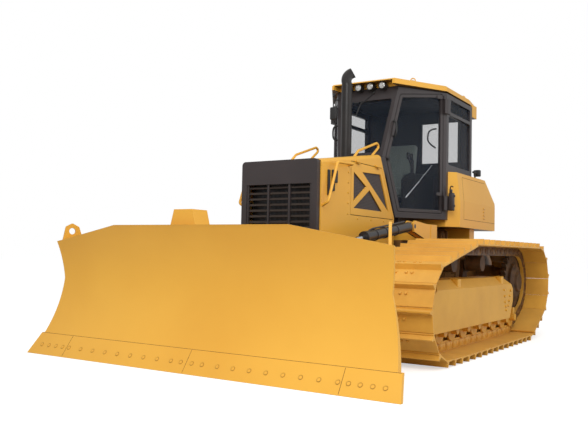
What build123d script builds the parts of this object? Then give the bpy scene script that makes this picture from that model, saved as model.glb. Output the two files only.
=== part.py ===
from build123d import *
import math
import os

os.makedirs("parts", exist_ok=True)

# A low-ground-pressure crawler bulldozer with a six-way blade, in millimetres.
# +X is the machine's left side, +Y its rear and +Z up. The origin is on the ground,
# in the middle of the overall length and width. The blade rests on the ground.

# Small clearances that mating pieces share
fit = 0.05  # radial, a pin turning in its bore
rest_gap = 0.3  # a curved face beside another
side_gap = 5  # a moving face beside another
door_gap = 6

# Undercarriage
gauge = 2600  # between the centre lines of the two tracks
shoe_width = 750
link_pitch = 190
link_above = 58  # pin line to the shoe's inner face
link_below = 45  # pin line to the rail's running face
rail_width = 42
rail_gap = 78  # between the two rails of one chain
shoe_reach = 110  # half a shoe's length, so that each laps over the next
shoe_plate = 8  # at the leading end
shoe_lip = 18  # and at the trailing one
grouser_height = 67  # from the shoe's inner face to the tip
idler_y = -1055
idler_z = 515
idler_radius = 335
idler_width = 190
sprocket_y = 2160
sprocket_z = 700
sprocket_turn = 12.5  # chain links in one turn of the sprocket
sprocket_teeth = 25
sprocket_width = 56
hub_radius = 235
hub_width = 120
drive_radius = 215
roller_radius = 100
roller_count = 8
roller_first_y = -630
roller_last_y = 1790
roller_width = 206
carrier_radius = 90
carrier_ys = (-210, 710)
carrier_z = 945
axle_radius = 45

# Track frames
frame_inner = 165  # from the track's centre line to the frame's inner face
frame_outer = 215
frame_front_y = -1165
frame_rear_y = 1510
frame_top_z = 785
frame_bottom_z = 390
frame_bevel = 90
skirt_plate = 30  # cover plate outside the rollers
skirt_bottom_z = 290
fork_plate = 45
fork_depth = 560

# Hull
hull_half = 465
hull_front_y = -1340
hull_rear_y = 2500
hull_bottom_z = 440
rear_bevel_height = 200
rear_bevel_depth = 260
rail_top_z = 1010
rail_plate = 60
case_front_y = 500
case_top_z = 1200
beam_height = 80  # cross members under the hull
front_beam_y = 260
rear_beam_y = 1180
pivot_beam_width = 130
drawbar_end_y = 2840
drawbar_z = 540
drawbar_plate = 45
drawbar_gap = 90
drawbar_pin_radius = 25

# Nose, hood and engine
nose_half = 452
nose_front_y = -1450
nose_depth = 60
nose_bottom_z = 780
nose_top_z = 1950
blank_band = 243  # plain band above the grille
nose_border = 62
slat_count = 15
hood_half = 465
hood_split_y = -800
hood_rear_y = -92
hood_rear_z = 2150
hood_foot_y = 300
hood_foot_z = 1450
hood_sheet = 14
hood_round = 42
door_sill_z = 1430
door_head_z = 2000
engine_door_border = 35
engine_door_front_border = 20
hinge_pin_radius = 5
stack_x = 80
stack_y = -190
stack_radius = 61
stack_wall = 7
stack_bend_z = 2975
stack_bend = 160
stack_turn = 1.45  # radians, towards the rear
engine_top_z = 1740

# Cab
cab_half = 800
cab_rear_half = 790
cab_front_half = 300
cab_kink_y = 305
cab_kink_z = 2190
cab_foot_y = 467
cab_foot_z = 1470
cab_head_y = 485
cab_head_z = 3045
cab_post_y = 1085  # middle posts, where the doors hang
cab_rear_y = 2060
cab_wall = 50
cowl_half = 430
cowl_gap = 20  # behind the hood's rear edge
platform_half = 400
platform_front_y = 560
floor_thickness = 45
post_width = 48
door_frame = 38
door_head_drop = 67  # the door's head is lower in front
door_thickness = 45
hinge_u = 50  # door hinge's axis, ahead of the post's rear
hinge_out = 20  # and outside of the door's face
hinge_box = 180
glass_thickness = 8
window_sill_z = 2160
window_head_z = 2985
window_bar_z = 2790
roof_base_z = 3062
roof_top_z = 3130
roof_front_y = 350
lamp_bay_y = 500  # rear of the recess under the roof's front edge
lamp_bay_half = 395
lamp_bay_top_z = 3112
lamp_z = 3065
lamp_radius = 46
roof_rear_y = 2250
roof_box_depth = 150

# Rear body
tank_half = 915
tank_front_y = 1130
tank_rear_y = 2760
tank_rear_top_y = 2350
tank_bottom_z = 1385
tank_crease_z = 1720
tank_top_z = 2070
tank_lean = 35

# Blade, yoke and push frame
blade_tip_y = -2840
blade_half = 1980
edge_top_half = 1930
blade_foot_half = 1895
blade_waist_half = 1782
blade_shoulder_half = 1822
blade_flat_half = 950
blade_height = 1247
shoulder_height = 1092
waist_z = 730
waist_y = -2574
blade_top_y = -2737
blade_plate = 24
edge_plate = 28
edge_height = 190
edge_slope = 35
back_y = -2440  # rear face of the blade's lower stiffener
lower_half = 1740
upper_half = 1780
tilt_z = 430
yoke_plate = 30
yoke_half = 720
mast_top_z = 1390
mast_rear_y = -2070
mast_rear_z = 1285
mast_front_depth = 205
mast_x = -230  # the head stands off the middle
king_pin_y = -2200
king_pin_radius = 60
nose_boss_radius = 125
arm_x = 740
arm_width = 110
arm_height = 170
pivot_y = 440
pivot_z = 620
push_beam_front_y = -2000
push_beam_rear_y = -1740
push_beam_bottom_z = 360
push_beam_top_z = 600
lift_lug_front_y = -1890
lift_eye_y = -1800
lift_eye_z = 1090
lift_base_y = 60
lift_base_z = 1345
lift_x = 780
angle_base_x = 560
angle_base_y = -1250
angle_eye_x = 620
angle_eye_y = -2325
angle_z = 662
tilt_base_x = 170
tilt_base_z = 1010
tilt_eye_x = 800
tilt_eye_z = 800
cylinder_y = -2345  # plane of the tilt cylinder
lug_plate = 24
lug_gap = 60
base_pin_radius = 25
trunnion_radius = 60
eye_radius = 46


def write(piece, name):
    """Labels a finished piece and writes it as its own file."""
    piece.part.label = name
    export_step(piece.part, f"parts/{name}.step")


def write_pair(left, name):
    """Writes a piece of the left side, and its mirror image for the right."""
    write(left, f"{name}_left")
    with BuildPart() as right:
        mirror(left.part, about=Plane.YZ)
    write(right, f"{name}_right")


def side_outline(x, *points):
    """A closed outline of (y, z) points, in the lengthwise plane at that x."""
    with BuildSketch(Plane.YZ.offset(x)) as outline:
        Polygon(*points, align=None)
    return outline.sketch


def side_disc(x, y, z, *radii):
    """A disc, or a ring where two radii are given, in the lengthwise plane at that x."""
    with BuildSketch(Plane.YZ.offset(x)) as disc:
        with Locations((y, z)):
            Circle(radii[0])
            for radius in radii[1:]:
                Circle(radius, mode=Mode.SUBTRACT)
    return disc.sketch


def turned(centre, *points):
    """Turns an outline of (x, radius) points about the crosswise line through that centre."""
    with BuildSketch(Plane(centre, x_dir=(1, 0, 0), z_dir=(0, -1, 0))) as profile:
        Polygon(*points, align=None)
    return revolve(profile.sketch, axis=Axis(centre, (1, 0, 0)))


# Track chain. Its pin line is the convex loop round the wheels that carry it.
track_x = gauge / 2
sprocket_pitch_radius = link_pitch / 2 / math.sin(math.pi / sprocket_turn)
roller_z = grouser_height + link_above + link_below + rest_gap + roller_radius
running = link_below + rest_gap
wheels = [
    (idler_y, idler_z, idler_radius + running),
    *((y, carrier_z, carrier_radius + running) for y in carrier_ys),
    (sprocket_y, sprocket_z, sprocket_pitch_radius),
    (roller_last_y, roller_z, roller_radius + running),
    (roller_first_y, roller_z, roller_radius + running),
]


def wheel_loop(grow):
    """The closed loop round the wheels, that far outside the pin line."""
    with BuildSketch() as loop:
        for y, z, line in wheels:
            with Locations((y, z)):
                Circle(line + grow)
        make_hull()
    return loop.sketch_local


pin_loop = wheel_loop(0).faces()[0].outer_wire()
shoe_count = round(pin_loop.length / link_pitch)

with BuildPart() as track:
    with BuildSketch(Plane.YZ.offset(track_x - shoe_width / 2)):
        for k in range(shoe_count):
            at = pin_loop.position_at(k / shoe_count)
            along = pin_loop.tangent_at(k / shoe_count)
            middle = Vector((idler_y + sprocket_y) / 2, frame_top_z)
            out = -1 if along.cross(middle - at).Z > 0 else 1
            heading = math.degrees(math.atan2(along.Y, along.X))
            foot, plate, lip, tip = (out * (link_above + h) for h in (0, shoe_plate, shoe_lip, grouser_height))
            with Locations(Location((at.X, at.Y), heading)):
                Polygon(
                    (-shoe_reach, foot),
                    (shoe_reach, foot),
                    (shoe_reach, plate),
                    (-50, lip),
                    (-74, tip),
                    (-88, tip),
                    (-96, lip),
                    (-shoe_reach, lip),
                    align=None,
                )
    extrude(amount=shoe_width)
    for side in (-1, 1):
        middle_x = track_x + side * (rail_gap + rail_width) / 2
        with BuildSketch(Plane.YZ.offset(middle_x - rail_width / 2)):
            add(wheel_loop(link_above + 1))
            add(wheel_loop(-link_below), mode=Mode.SUBTRACT)
        extrude(amount=rail_width)
write_pair(track, "track")

# Sprockets: a toothed rim on a hub, between the rails of the chain
with BuildPart() as sprockets:
    root_radius = sprocket_pitch_radius - 38
    with BuildSketch(Plane.YZ.offset(track_x - sprocket_width / 2)):
        with Locations((sprocket_y, sprocket_z)):
            Circle(root_radius)
            with PolarLocations(root_radius - 4, sprocket_teeth):
                Trapezoid(46, 62, 76, rotation=-90, align=(Align.CENTER, Align.MIN))
    extrude(amount=sprocket_width)
    hub_inner = -sprocket_width / 2 - 30
    hub_outer = hub_inner + hub_width
    turned(
        (track_x, sprocket_y, sprocket_z),
        (hub_inner, 0),
        (hub_inner, hub_radius),
        (hub_outer, hub_radius),
        (hub_outer + 22, hub_radius - 45),
        (hub_outer + 22, 130),
        (hub_outer + 50, 118),
        (hub_outer + 50, 0),
    )
    mirror(about=Plane.YZ)
write(sprockets, "sprockets")

# Final drives, from the hull's sides to the sprockets
with BuildPart() as drives:
    start = hull_half
    end = track_x + hub_inner
    turned(
        (0, sprocket_y, sprocket_z),
        (start, 0),
        (start, drive_radius),
        (end - 190, drive_radius),
        (end - 150, drive_radius - 30),
        (end - 40, drive_radius - 30),
        (end - 40, drive_radius),
        (end, drive_radius),
        (end, 0),
    )
    mirror(about=Plane.YZ)
write(drives, "final_drives")

# Idlers: a rim with a centre flange and dished faces, on an axle that the fork holds
with BuildPart() as idlers:
    rim = idler_width / 2
    flange = rail_gap / 2 - 3
    turned(
        (track_x, idler_y, idler_z),
        (-frame_inner, 0),
        (-frame_inner, axle_radius),
        (-rim - 8, axle_radius),
        (-rim - 8, 100),
        (-rim + 50, 120),
        (-rim + 50, idler_radius - 60),
        (-rim, idler_radius - 40),
        (-rim, idler_radius),
        (-flange, idler_radius),
        (-flange, idler_radius + 22),
        (flange, idler_radius + 22),
        (flange, idler_radius),
        (rim, idler_radius),
        (rim, idler_radius - 40),
        (rim - 50, idler_radius - 60),
        (rim - 50, 120),
        (rim + 8, 100),
        (rim + 8, axle_radius),
        (frame_outer, axle_radius),
        (frame_outer, 0),
    )
    mirror(about=Plane.YZ)
write(idlers, "idlers")

# Lower rollers, each hung from the track frame by a collar at either end of its axle
roller_step = (roller_last_y - roller_first_y) / (roller_count - 1)
roller_ys = [roller_first_y + k * roller_step for k in range(roller_count)]
with BuildPart() as rollers:
    for y in roller_ys:
        half = roller_width / 2
        turned(
            (track_x, y, roller_z),
            (-half, 0),
            (-half, roller_radius + 16),
            (-half + 18, roller_radius + 16),
            (-half + 18, roller_radius),
            (half - 18, roller_radius),
            (half - 18, roller_radius + 16),
            (half, roller_radius + 16),
            (half, axle_radius),
            (half + 62, axle_radius),
            (half + 62, 0),
        )
        for x in (track_x - half - 42, track_x + half):
            extrude(
                side_outline(
                    x,
                    (y - 40, frame_bottom_z),
                    (y - 30, roller_z - 30),
                    (y + 30, roller_z - 30),
                    (y + 40, frame_bottom_z),
                ),
                amount=42,
            )
    mirror(about=Plane.YZ)
write(rollers, "track_rollers")

# Carrier rollers, each on the axle of a post that stands on the track frame
with BuildPart() as carriers:
    for y in carrier_ys:
        turned(
            (track_x, y, carrier_z),
            (-120, 0),
            (-120, 34),
            (-92, 34),
            (-92, carrier_radius + 14),
            (-84, carrier_radius + 14),
            (-84, carrier_radius),
            (92, carrier_radius),
            (92, 0),
        )
        post_foot = track_x - frame_inner + 5
        extrude(
            side_outline(
                post_foot,
                (y - 75, frame_top_z),
                (y - 40, carrier_z + 44),
                (y + 40, carrier_z + 44),
                (y + 75, frame_top_z),
            ),
            amount=42,
        )
    mirror(about=Plane.YZ)
write(carriers, "carrier_rollers")

# Track frames: a box beam with a bevelled outer cover, forked in front for the idler
with BuildPart() as track_frames:
    inner_x = track_x - frame_inner
    frame_width = frame_inner + frame_outer
    frame_side = side_outline(
        inner_x,
        (frame_front_y, idler_z - 85),
        (frame_front_y + 250, frame_bottom_z),
        (frame_rear_y - 110, frame_bottom_z),
        (frame_rear_y, frame_bottom_z + 110),
        (frame_rear_y, frame_top_z - 150),
        (frame_rear_y - 190, frame_top_z),
        (frame_front_y + 330, frame_top_z),
        (frame_front_y, idler_z + 85),
    )
    extrude(frame_side, amount=frame_width)
    outer_top = track_frames.edges().filter_by(Axis.Y).sort_by(Axis.Z)[-2:].sort_by(Axis.X)[-1]
    chamfer(outer_top, frame_bevel)
    skirt = side_outline(
        track_x + frame_outer - skirt_plate,
        (frame_front_y, idler_z),
        (frame_front_y, idler_z - 110),
        (frame_front_y + 90, skirt_bottom_z),
        (frame_rear_y - 130, skirt_bottom_z),
        (frame_rear_y, frame_bottom_z + 110),
        (frame_rear_y - 110, frame_bottom_z + 110),
    )
    extrude(skirt, amount=skirt_plate)
    with Locations((inner_x + fork_plate, frame_front_y, idler_z)):
        Box(
            frame_width - 2 * fork_plate - 62,
            2 * (fork_depth - 40),
            2 * frame_top_z,
            align=(Align.MIN, Align.CENTER, Align.CENTER),
            mode=Mode.SUBTRACT,
        )
    extrude(side_disc(inner_x - 1, idler_y, idler_z, axle_radius + fit), amount=frame_width + 2, mode=Mode.SUBTRACT)
    mirror(about=Plane.YZ)
write(track_frames, "track_frames")

# Cross members under the hull, from one track frame to the other
with BuildPart() as cross_members:
    reach = 2 * (track_x - frame_inner)
    for y, width in ((front_beam_y, 110), (rear_beam_y, pivot_beam_width)):
        with Locations((0, y, hull_bottom_z)):
            Box(reach, width, beam_height, align=(Align.CENTER, Align.CENTER, Align.MAX))
            chamfer(cross_members.edges().filter_by(Axis.X).group_by(Axis.Z)[0], 12)
write(cross_members, "cross_members")

# Hull: side rails and belly plate in front, the closed rear case behind
rear_face_z = hull_bottom_z + rear_bevel_height
with BuildPart() as hull:
    extrude(
        side_outline(
            -hull_half,
            (hull_front_y, hull_bottom_z + 130),
            (hull_front_y + 160, hull_bottom_z),
            (hull_rear_y - rear_bevel_depth, hull_bottom_z),
            (hull_rear_y, rear_face_z),
            (hull_rear_y, case_top_z - 150),
            (hull_rear_y - 150, case_top_z),
            (case_front_y, case_top_z),
            (case_front_y, rail_top_z),
            (hull_front_y, rail_top_z),
        ),
        amount=2 * hull_half,
    )
    bay_floor = hull_bottom_z + rail_plate
    with Locations((0, (hull_front_y + case_front_y) / 2, bay_floor)):
        Box(
            2 * (hull_half - rail_plate),
            case_front_y - hull_front_y - 2 * rail_plate,
            rail_top_z,
            align=(Align.CENTER, Align.CENTER, Align.MIN),
            mode=Mode.SUBTRACT,
        )
write(hull, "hull")

# Drawbar: a clevis whose root lies on the hull's rear bevel, below the flat rear face
with BuildPart() as drawbar:
    clevis_half = drawbar_gap / 2 + drawbar_plate
    low, high = drawbar_z - clevis_half, drawbar_z + clevis_half
    root = [(hull_rear_y - rear_bevel_depth * (rear_face_z - z) / rear_bevel_height, z) for z in (low, high)]
    extrude(side_outline(-90, *root, (drawbar_end_y, high), (drawbar_end_y, low)), amount=180)
    fillet(drawbar.edges().filter_by(Axis.Z).sort_by(Axis.Y)[-2:], 60)
    with Locations((0, drawbar_end_y, drawbar_z)):
        Box(200, 360, drawbar_gap, mode=Mode.SUBTRACT)
    drawbar_pin_y = drawbar_end_y - 75
    with Locations((0, drawbar_pin_y, drawbar_z)):
        Cylinder(drawbar_pin_radius, 2 * clevis_half + 2, mode=Mode.SUBTRACT)
write(drawbar, "drawbar")

# Engine: one plain block on the belly plate
with BuildPart() as engine:
    with Locations((0, -560, bay_floor)):
        Box(560, 1000, engine_top_z - bay_floor, align=(Align.CENTER, Align.CENTER, Align.MIN))
write(engine, "engine_block")

# Radiator guard: the dark nose plate with its grille opening
grille_half = nose_half - nose_border
grille_top_z = nose_top_z - blank_band
grille_bottom_z = nose_bottom_z + nose_border
grille_height = grille_top_z - grille_bottom_z
with BuildPart() as nose:
    with BuildSketch(Plane.XZ.offset(-nose_front_y)):
        with Locations((0, nose_bottom_z)):
            Rectangle(2 * nose_half, nose_top_z - nose_bottom_z, align=(Align.CENTER, Align.MIN))
    extrude(amount=-nose_depth)
    fillet(nose.edges().filter_by(Axis.Y).group_by(Axis.Z)[-1], 40)
    with Locations((0, nose_front_y, grille_bottom_z)):
        Box(
            2 * grille_half,
            2 * nose_depth + 2,
            grille_height,
            align=(Align.CENTER, Align.CENTER, Align.MIN),
            mode=Mode.SUBTRACT,
        )
write(nose, "radiator_guard")

# Grille: upright bars joined by sloping slats, set inside the guard
with BuildPart() as grille:
    for k in range(4):
        x = -grille_half + 11 + k * (2 * grille_half - 22) / 3
        with Locations((x, nose_front_y + 24, grille_bottom_z)):
            Box(22, 30, grille_height, align=(Align.CENTER, Align.CENTER, Align.MIN))
    for k in range(slat_count):
        z = grille_bottom_z + (k + 0.5) * grille_height / slat_count
        with Locations(Location((0, nose_front_y + 32, z), (35, 0, 0))):
            Box(2 * grille_half - 2, 40, 5)
write(grille, "grille")

# Radiator core behind the grille, standing on the hull's front
with BuildPart() as radiator:
    with Locations((0, nose_front_y + nose_depth + 60, rail_top_z)):
        Box(2 * grille_half, 90, grille_top_z - rail_top_z + 60, align=(Align.CENTER, Align.MIN, Align.MIN))
write(radiator, "radiator")


def hood_top(y):
    """Height of the hood's sloping top at that distance along the machine."""
    front = nose_front_y + nose_depth
    return nose_top_z + (hood_rear_z - nose_top_z) * (y - front) / (hood_rear_y - front)


def hood_rear(z):
    """Place of the hood's rear edge at that height, slanting back to the cab's foot."""
    return hood_foot_y + (hood_rear_y - hood_foot_y) * (z - hood_foot_z) / (hood_rear_z - hood_foot_z)


def hood_shell(outer, inner):
    """A sheet shell between two side outlines, open at both ends and below."""
    with BuildPart() as shell:
        extrude(side_outline(-hood_half, *outer), amount=2 * hood_half)
        top_edges = shell.edges().filter_by(lambda e: abs(e.tangent_at(0).Y) > 0.9 and e.center().Z > door_head_z - 60)
        fillet(top_edges, hood_round)
        inside = hood_half - hood_sheet
        extrude(side_outline(-inside, *inner), amount=2 * inside, mode=Mode.SUBTRACT)
    return shell


# Radiator housing, the hood's fixed front part
housing_front_y = nose_front_y + nose_depth
housing = hood_shell(
    (
        (housing_front_y, rail_top_z),
        (hood_split_y, rail_top_z),
        (hood_split_y, hood_top(hood_split_y)),
        (housing_front_y, nose_top_z),
    ),
    (
        (housing_front_y - 1, rail_top_z - 1),
        (hood_split_y + 1, rail_top_z - 1),
        (hood_split_y + 1, hood_top(hood_split_y + 1) - hood_sheet),
        (housing_front_y - 1, hood_top(housing_front_y - 1) - hood_sheet),
    ),
)
write(housing, "radiator_housing")

# Hood, with an opening in either side for the engine doors
hood = hood_shell(
    (
        (hood_split_y, rail_top_z),
        (hood_foot_y, rail_top_z),
        (hood_foot_y, hood_foot_z),
        (hood_rear_y, hood_rear_z),
        (hood_split_y, hood_top(hood_split_y)),
    ),
    (
        (hood_split_y - 1, rail_top_z - 1),
        (hood_foot_y + 1, rail_top_z - 1),
        (hood_foot_y + 1, hood_foot_z),
        (hood_rear(hood_top(hood_rear_y) - hood_sheet) + 1, hood_top(hood_rear_y) - hood_sheet),
        (hood_split_y - 1, hood_top(hood_split_y) - hood_sheet),
    ),
)


def engine_door_outline(x, margin):
    """The engine door's outline, drawn in by that margin."""
    front = hood_split_y + engine_door_front_border + margin
    sill = door_sill_z + margin
    head = door_head_z - margin
    rear = [hood_rear(z) - engine_door_border - margin for z in (sill, head)]
    return side_outline(x, (front, sill), (rear[0], sill), (rear[1], head), (front, head))


hinge_axis_x = hood_half + 13
hinge_ys = (hood_split_y + 110, hood_rear_y - 130)
with hood:
    for side in (-1, 1):
        extrude(
            engine_door_outline(side * (hood_half + 1), 0),
            amount=-side * (hood_sheet + 3),
            mode=Mode.SUBTRACT,
        )
        for y in hinge_ys:
            with Locations((side * (hood_half + 8), y, door_head_z)):
                Box(16, 45, 14, align=(Align.CENTER, Align.MIN, Align.MIN))
            with Locations(Location((side * hinge_axis_x, y, door_head_z), (-90, 0, 0))):
                Cylinder(11, 45, align=(Align.CENTER, Align.CENTER, Align.MIN))
                Cylinder(
                    hinge_pin_radius + fit,
                    60,
                    align=(Align.CENTER, Align.CENTER, Align.MIN),
                    mode=Mode.SUBTRACT,
                )
    with Locations((stack_x, stack_y, hood_rear_z)):
        Cylinder(stack_radius + 4, 200, mode=Mode.SUBTRACT)
write(hood, "hood")

# Engine doors, hung at their top edge, each with three three-cornered vents
vent_corners = (
    ((-520, 1905), (-75, 1925), (150, 1512)),
    ((-345, 1725), (-30, 1508), (-710, 1508)),
    ((-425, 1757), (-715, 1575), (-715, 1890)),
)
with BuildPart() as engine_door:
    extrude(engine_door_outline(hood_half - hood_sheet, door_gap), amount=hood_sheet)
    for corners in vent_corners:
        with BuildSketch(Plane.YZ.offset(hood_half - hood_sheet)):
            Polygon(*corners, align=None)
        extrude(amount=hood_sheet, mode=Mode.SUBTRACT)
    for y in hinge_ys:
        with Locations((hood_half, y + 46, door_head_z - door_gap)):
            Box(16, 45, 14, align=(Align.MIN, Align.MIN, Align.MAX))
        with Locations(Location((hinge_axis_x, y + 46, door_head_z), (-90, 0, 0))):
            Cylinder(11, 45, align=(Align.CENTER, Align.CENTER, Align.MIN))
        with Locations(Location((hinge_axis_x, y + 20, door_head_z), (-90, 0, 0))):
            Cylinder(hinge_pin_radius, 60, align=(Align.CENTER, Align.CENTER, Align.MIN))
write_pair(engine_door, "engine_door")

# Dark screens behind the vents, fixed to the inside of the doors
with BuildPart() as door_screen:
    for corners in vent_corners:
        with BuildSketch(Plane.YZ.offset(hood_half - hood_sheet)):
            Polygon(*corners, align=None)
            offset(amount=12, kind=Kind.INTERSECTION)
        extrude(amount=-4)
write_pair(door_screen, "engine_door_screen")

# Exhaust stack on the engine, turned back at its mouth
with BuildPart() as stack:
    stack_end = (
        stack_x,
        stack_y + stack_bend * (1 - math.cos(stack_turn)),
        stack_bend_z + stack_bend * math.sin(stack_turn),
    )
    with BuildLine() as stack_line:
        Line((stack_x, stack_y, engine_top_z), (stack_x, stack_y, stack_bend_z))
        RadiusArc((stack_x, stack_y, stack_bend_z), stack_end, stack_bend)
    with BuildSketch(Plane.XY.offset(engine_top_z)):
        with Locations((stack_x, stack_y)):
            Circle(stack_radius)
            Circle(stack_radius - stack_wall, mode=Mode.SUBTRACT)
    sweep(path=stack_line.line)
write(stack, "exhaust_stack")

# Support beams across the hull, the front one with the brackets of the lift cylinders
with BuildPart() as supports:
    support_top = tank_bottom_z
    for y in (610, 1950):
        with Locations((0, y, case_top_z)):
            Box(1680, 180, support_top - case_top_z, align=(Align.CENTER, Align.CENTER, Align.MIN))
    for x in (lift_x - lug_gap / 2 - lug_plate, lift_x + lug_gap / 2):
        for side in (-1, 1):
            with BuildSketch(Plane.YZ.offset(side * x)):
                with BuildLine():
                    Polyline(
                        (610, support_top),
                        (610, case_top_z),
                        (400, case_top_z),
                        (lift_base_y - 15, lift_base_z - 62),
                        (lift_base_y - 55, lift_base_z + 30),
                        (lift_base_y + 10, lift_base_z + 64),
                        (400, support_top),
                        (610, support_top),
                    )
                make_face()
                with Locations((lift_base_y, lift_base_z)):
                    Circle(25 + fit, mode=Mode.SUBTRACT)
            extrude(amount=side * lug_plate)
write(supports, "support_beams")

# Cab platform, between the front support beam and the cab's floor
with BuildPart() as platform:
    with Locations((0, platform_front_y, support_top)):
        Box(
            2 * platform_half,
            tank_front_y - platform_front_y,
            cab_foot_z - support_top,
            align=(Align.CENTER, Align.MIN, Align.MIN),
        )
write(platform, "cab_platform")

# Cab walls. The front leans back below and above the windscreen's foot, and the plan widens
# from the front corners to the middle posts, where the doors hang.
cab_plan = [
    (-cab_front_half, cab_kink_y),
    (cab_front_half, cab_kink_y),
    (cab_half, cab_post_y),
    (cab_rear_half, cab_rear_y),
    (-cab_rear_half, cab_rear_y),
    (-cab_half, cab_post_y),
]


def front_post_y(z):
    """Front edge of the cab's side at that height."""
    if z < cab_kink_z:
        return cab_kink_y + (cab_foot_y - cab_kink_y) * (cab_kink_z - z) / (cab_kink_z - cab_foot_z)
    return cab_kink_y + (cab_head_y - cab_kink_y) * (z - cab_kink_z) / (cab_head_z - cab_kink_z)


def cab_volume(inset, foot, head):
    """The cab's upright form between two heights, its walls drawn in by the inset."""
    with BuildPart() as volume:
        with BuildSketch(Plane.XY.offset(foot)):
            Polygon(*cab_plan, align=None)
            if inset:
                offset(amount=-inset)
        extrude(amount=head - foot)
        front = [(front_post_y(z) + inset, z) for z in (foot, cab_kink_z, head)]
        extrude(
            side_outline(-cab_half, *front, (cab_rear_y - inset, head), (cab_rear_y - inset, foot)),
            amount=2 * cab_half,
            mode=Mode.INTERSECT,
        )
    return volume.part


slope = Vector(cab_front_half - cab_half, cab_kink_y - cab_post_y, 0).normalized()
door_plane = Plane((cab_half, cab_post_y, 0), x_dir=slope, z_dir=slope.cross(Vector(0, 0, 1)))


def along_door(y):
    """Distance from the middle post to that place, measured along the door."""
    return (cab_post_y - y) / abs(slope.Y)


opening_foot_z = cab_foot_z + 70
opening_head_z = cab_head_z - 15


def door_outline(margin):
    """The door opening in the plane of the door, drawn in by that margin."""
    front_head_z = opening_head_z - door_head_drop
    with BuildSketch(door_plane) as outline:
        Polygon(
            (post_width, opening_foot_z),
            (along_door(front_post_y(opening_foot_z)) - post_width, opening_foot_z),
            (along_door(cab_kink_y) - post_width, cab_kink_z),
            (along_door(front_post_y(front_head_z)) - post_width, front_head_z),
            (post_width, opening_head_z),
            align=None,
        )
        fillet(outline.vertices(), 40)
        if margin:
            offset(amount=-margin)
    return outline.sketch


def side_window(x, margin):
    """The two openings behind the middle post, drawn in by that margin."""
    front = cab_post_y + post_width + 30 + margin
    rear = cab_rear_y - cab_wall - post_width + 20 - margin
    with BuildSketch(Plane.YZ.offset(x)) as windows:
        for low, high in ((window_sill_z, window_bar_z), (window_bar_z + 40, window_head_z)):
            with Locations(((front + rear) / 2, (low + high) / 2)):
                RectangleRounded(rear - front, high - low - 2 * margin, 25)
    return windows.sketch


def rear_window(margin):
    """The window in the rear wall, drawn in by that margin."""
    with BuildSketch(Plane.XZ.offset(-cab_rear_y - 1)) as window:
        with Locations((0, (window_sill_z + window_head_z) / 2)):
            RectangleRounded(2 * (640 - margin), window_head_z - window_sill_z - 2 * margin, 30)
    return window.sketch


def windscreen(margin):
    """The windscreen's opening, which widens with the walls, drawn in by that margin."""
    low, high = cab_kink_z + 55, cab_head_z - 140
    flare = (cab_half - cab_front_half) / (cab_post_y - cab_kink_y)
    halves = [cab_front_half + flare * (front_post_y(z) - cab_kink_y) - post_width for z in (low, high)]
    with BuildSketch(Plane.XZ.offset(-cab_post_y)) as window:
        Polygon((-halves[0], low), (halves[0], low), (halves[1], high), (-halves[1], high), align=None)
        fillet(window.vertices(), 30)
        if margin:
            offset(amount=-margin)
    return window.sketch


wall_foot_z = cab_foot_z + floor_thickness
with BuildPart() as walls:
    add(cab_volume(0, wall_foot_z, cab_head_z))
    add(cab_volume(cab_wall, wall_foot_z - 1, cab_head_z + 1), mode=Mode.SUBTRACT)
    extrude(door_outline(0), amount=2 * cab_wall, both=True, mode=Mode.SUBTRACT)
    mirror_cut = mirror(door_outline(0), about=Plane.YZ, mode=Mode.PRIVATE)
    extrude(mirror_cut, amount=2 * cab_wall, both=True, mode=Mode.SUBTRACT)
    extrude(side_window(-cab_half - 1, 0), amount=2 * cab_half + 2, mode=Mode.SUBTRACT)
    extrude(rear_window(0), amount=2 * cab_wall, mode=Mode.SUBTRACT)
    extrude(windscreen(0), amount=cab_post_y, mode=Mode.SUBTRACT)


def slice_walls(*boxes):
    """The part of the cab's walls inside the boxes of (low corner, high corner)."""
    with BuildPart() as piece:
        add(walls.part)
        with BuildPart(mode=Mode.PRIVATE) as region:
            for low, high in boxes:
                with Locations(low):
                    Box(*(b - a for a, b in zip(low, high)), align=(Align.MIN, Align.MIN, Align.MIN))
        add(region.part, mode=Mode.INTERSECT)
    return piece


# Side frames, with the boxes that the doors' hinge pins turn in
far = 4000
front_split = 240  # where the side frames meet the cross walls
rear_split = 700
split_y = 1900
cab_left = slice_walls(
    ((front_split, -far, 0), (far, split_y, far)),
    ((rear_split, split_y, 0), (far, far, far)),
)
hinge_zs = (opening_foot_z + 130, opening_head_z - 160)
with cab_left:
    with BuildSketch(Plane.XY.offset(hinge_zs[0])) as hinge_plan:
        hinge_places = ((44, -10), (44, side_gap), (hinge_u + 8, side_gap), (hinge_u + 8, 48), (12, 48))
        corners = [door_plane * Location((u, 0, -out)) for u, out in hinge_places]
        Polygon(
            *((at.position.X, at.position.Y) for at in corners),
            (cab_half + 36, cab_post_y + 10),
            (cab_half + 36, tank_front_y - side_gap),
            (cab_half - 10, tank_front_y - side_gap),
            (cab_half - 10, cab_post_y),
            align=None,
        )
    for z in hinge_zs:
        lift = z - hinge_zs[0] - hinge_box / 2
        extrude(hinge_plan.sketch.moved(Location((0, 0, lift))), amount=hinge_box)
    for z in hinge_zs:
        with Locations(door_plane * Location((hinge_u, z + hinge_box / 2 + 1, -hinge_out), (90, 0, 0))):
            Cylinder(
                hinge_pin_radius + fit,
                60,
                align=(Align.CENTER, Align.CENTER, Align.MIN),
                mode=Mode.SUBTRACT,
            )
write_pair(cab_left, "cab_side_frame")

with BuildPart() as floor:
    add(cab_volume(0, cab_foot_z, wall_foot_z))
write(floor, "cab_floor")

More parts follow.
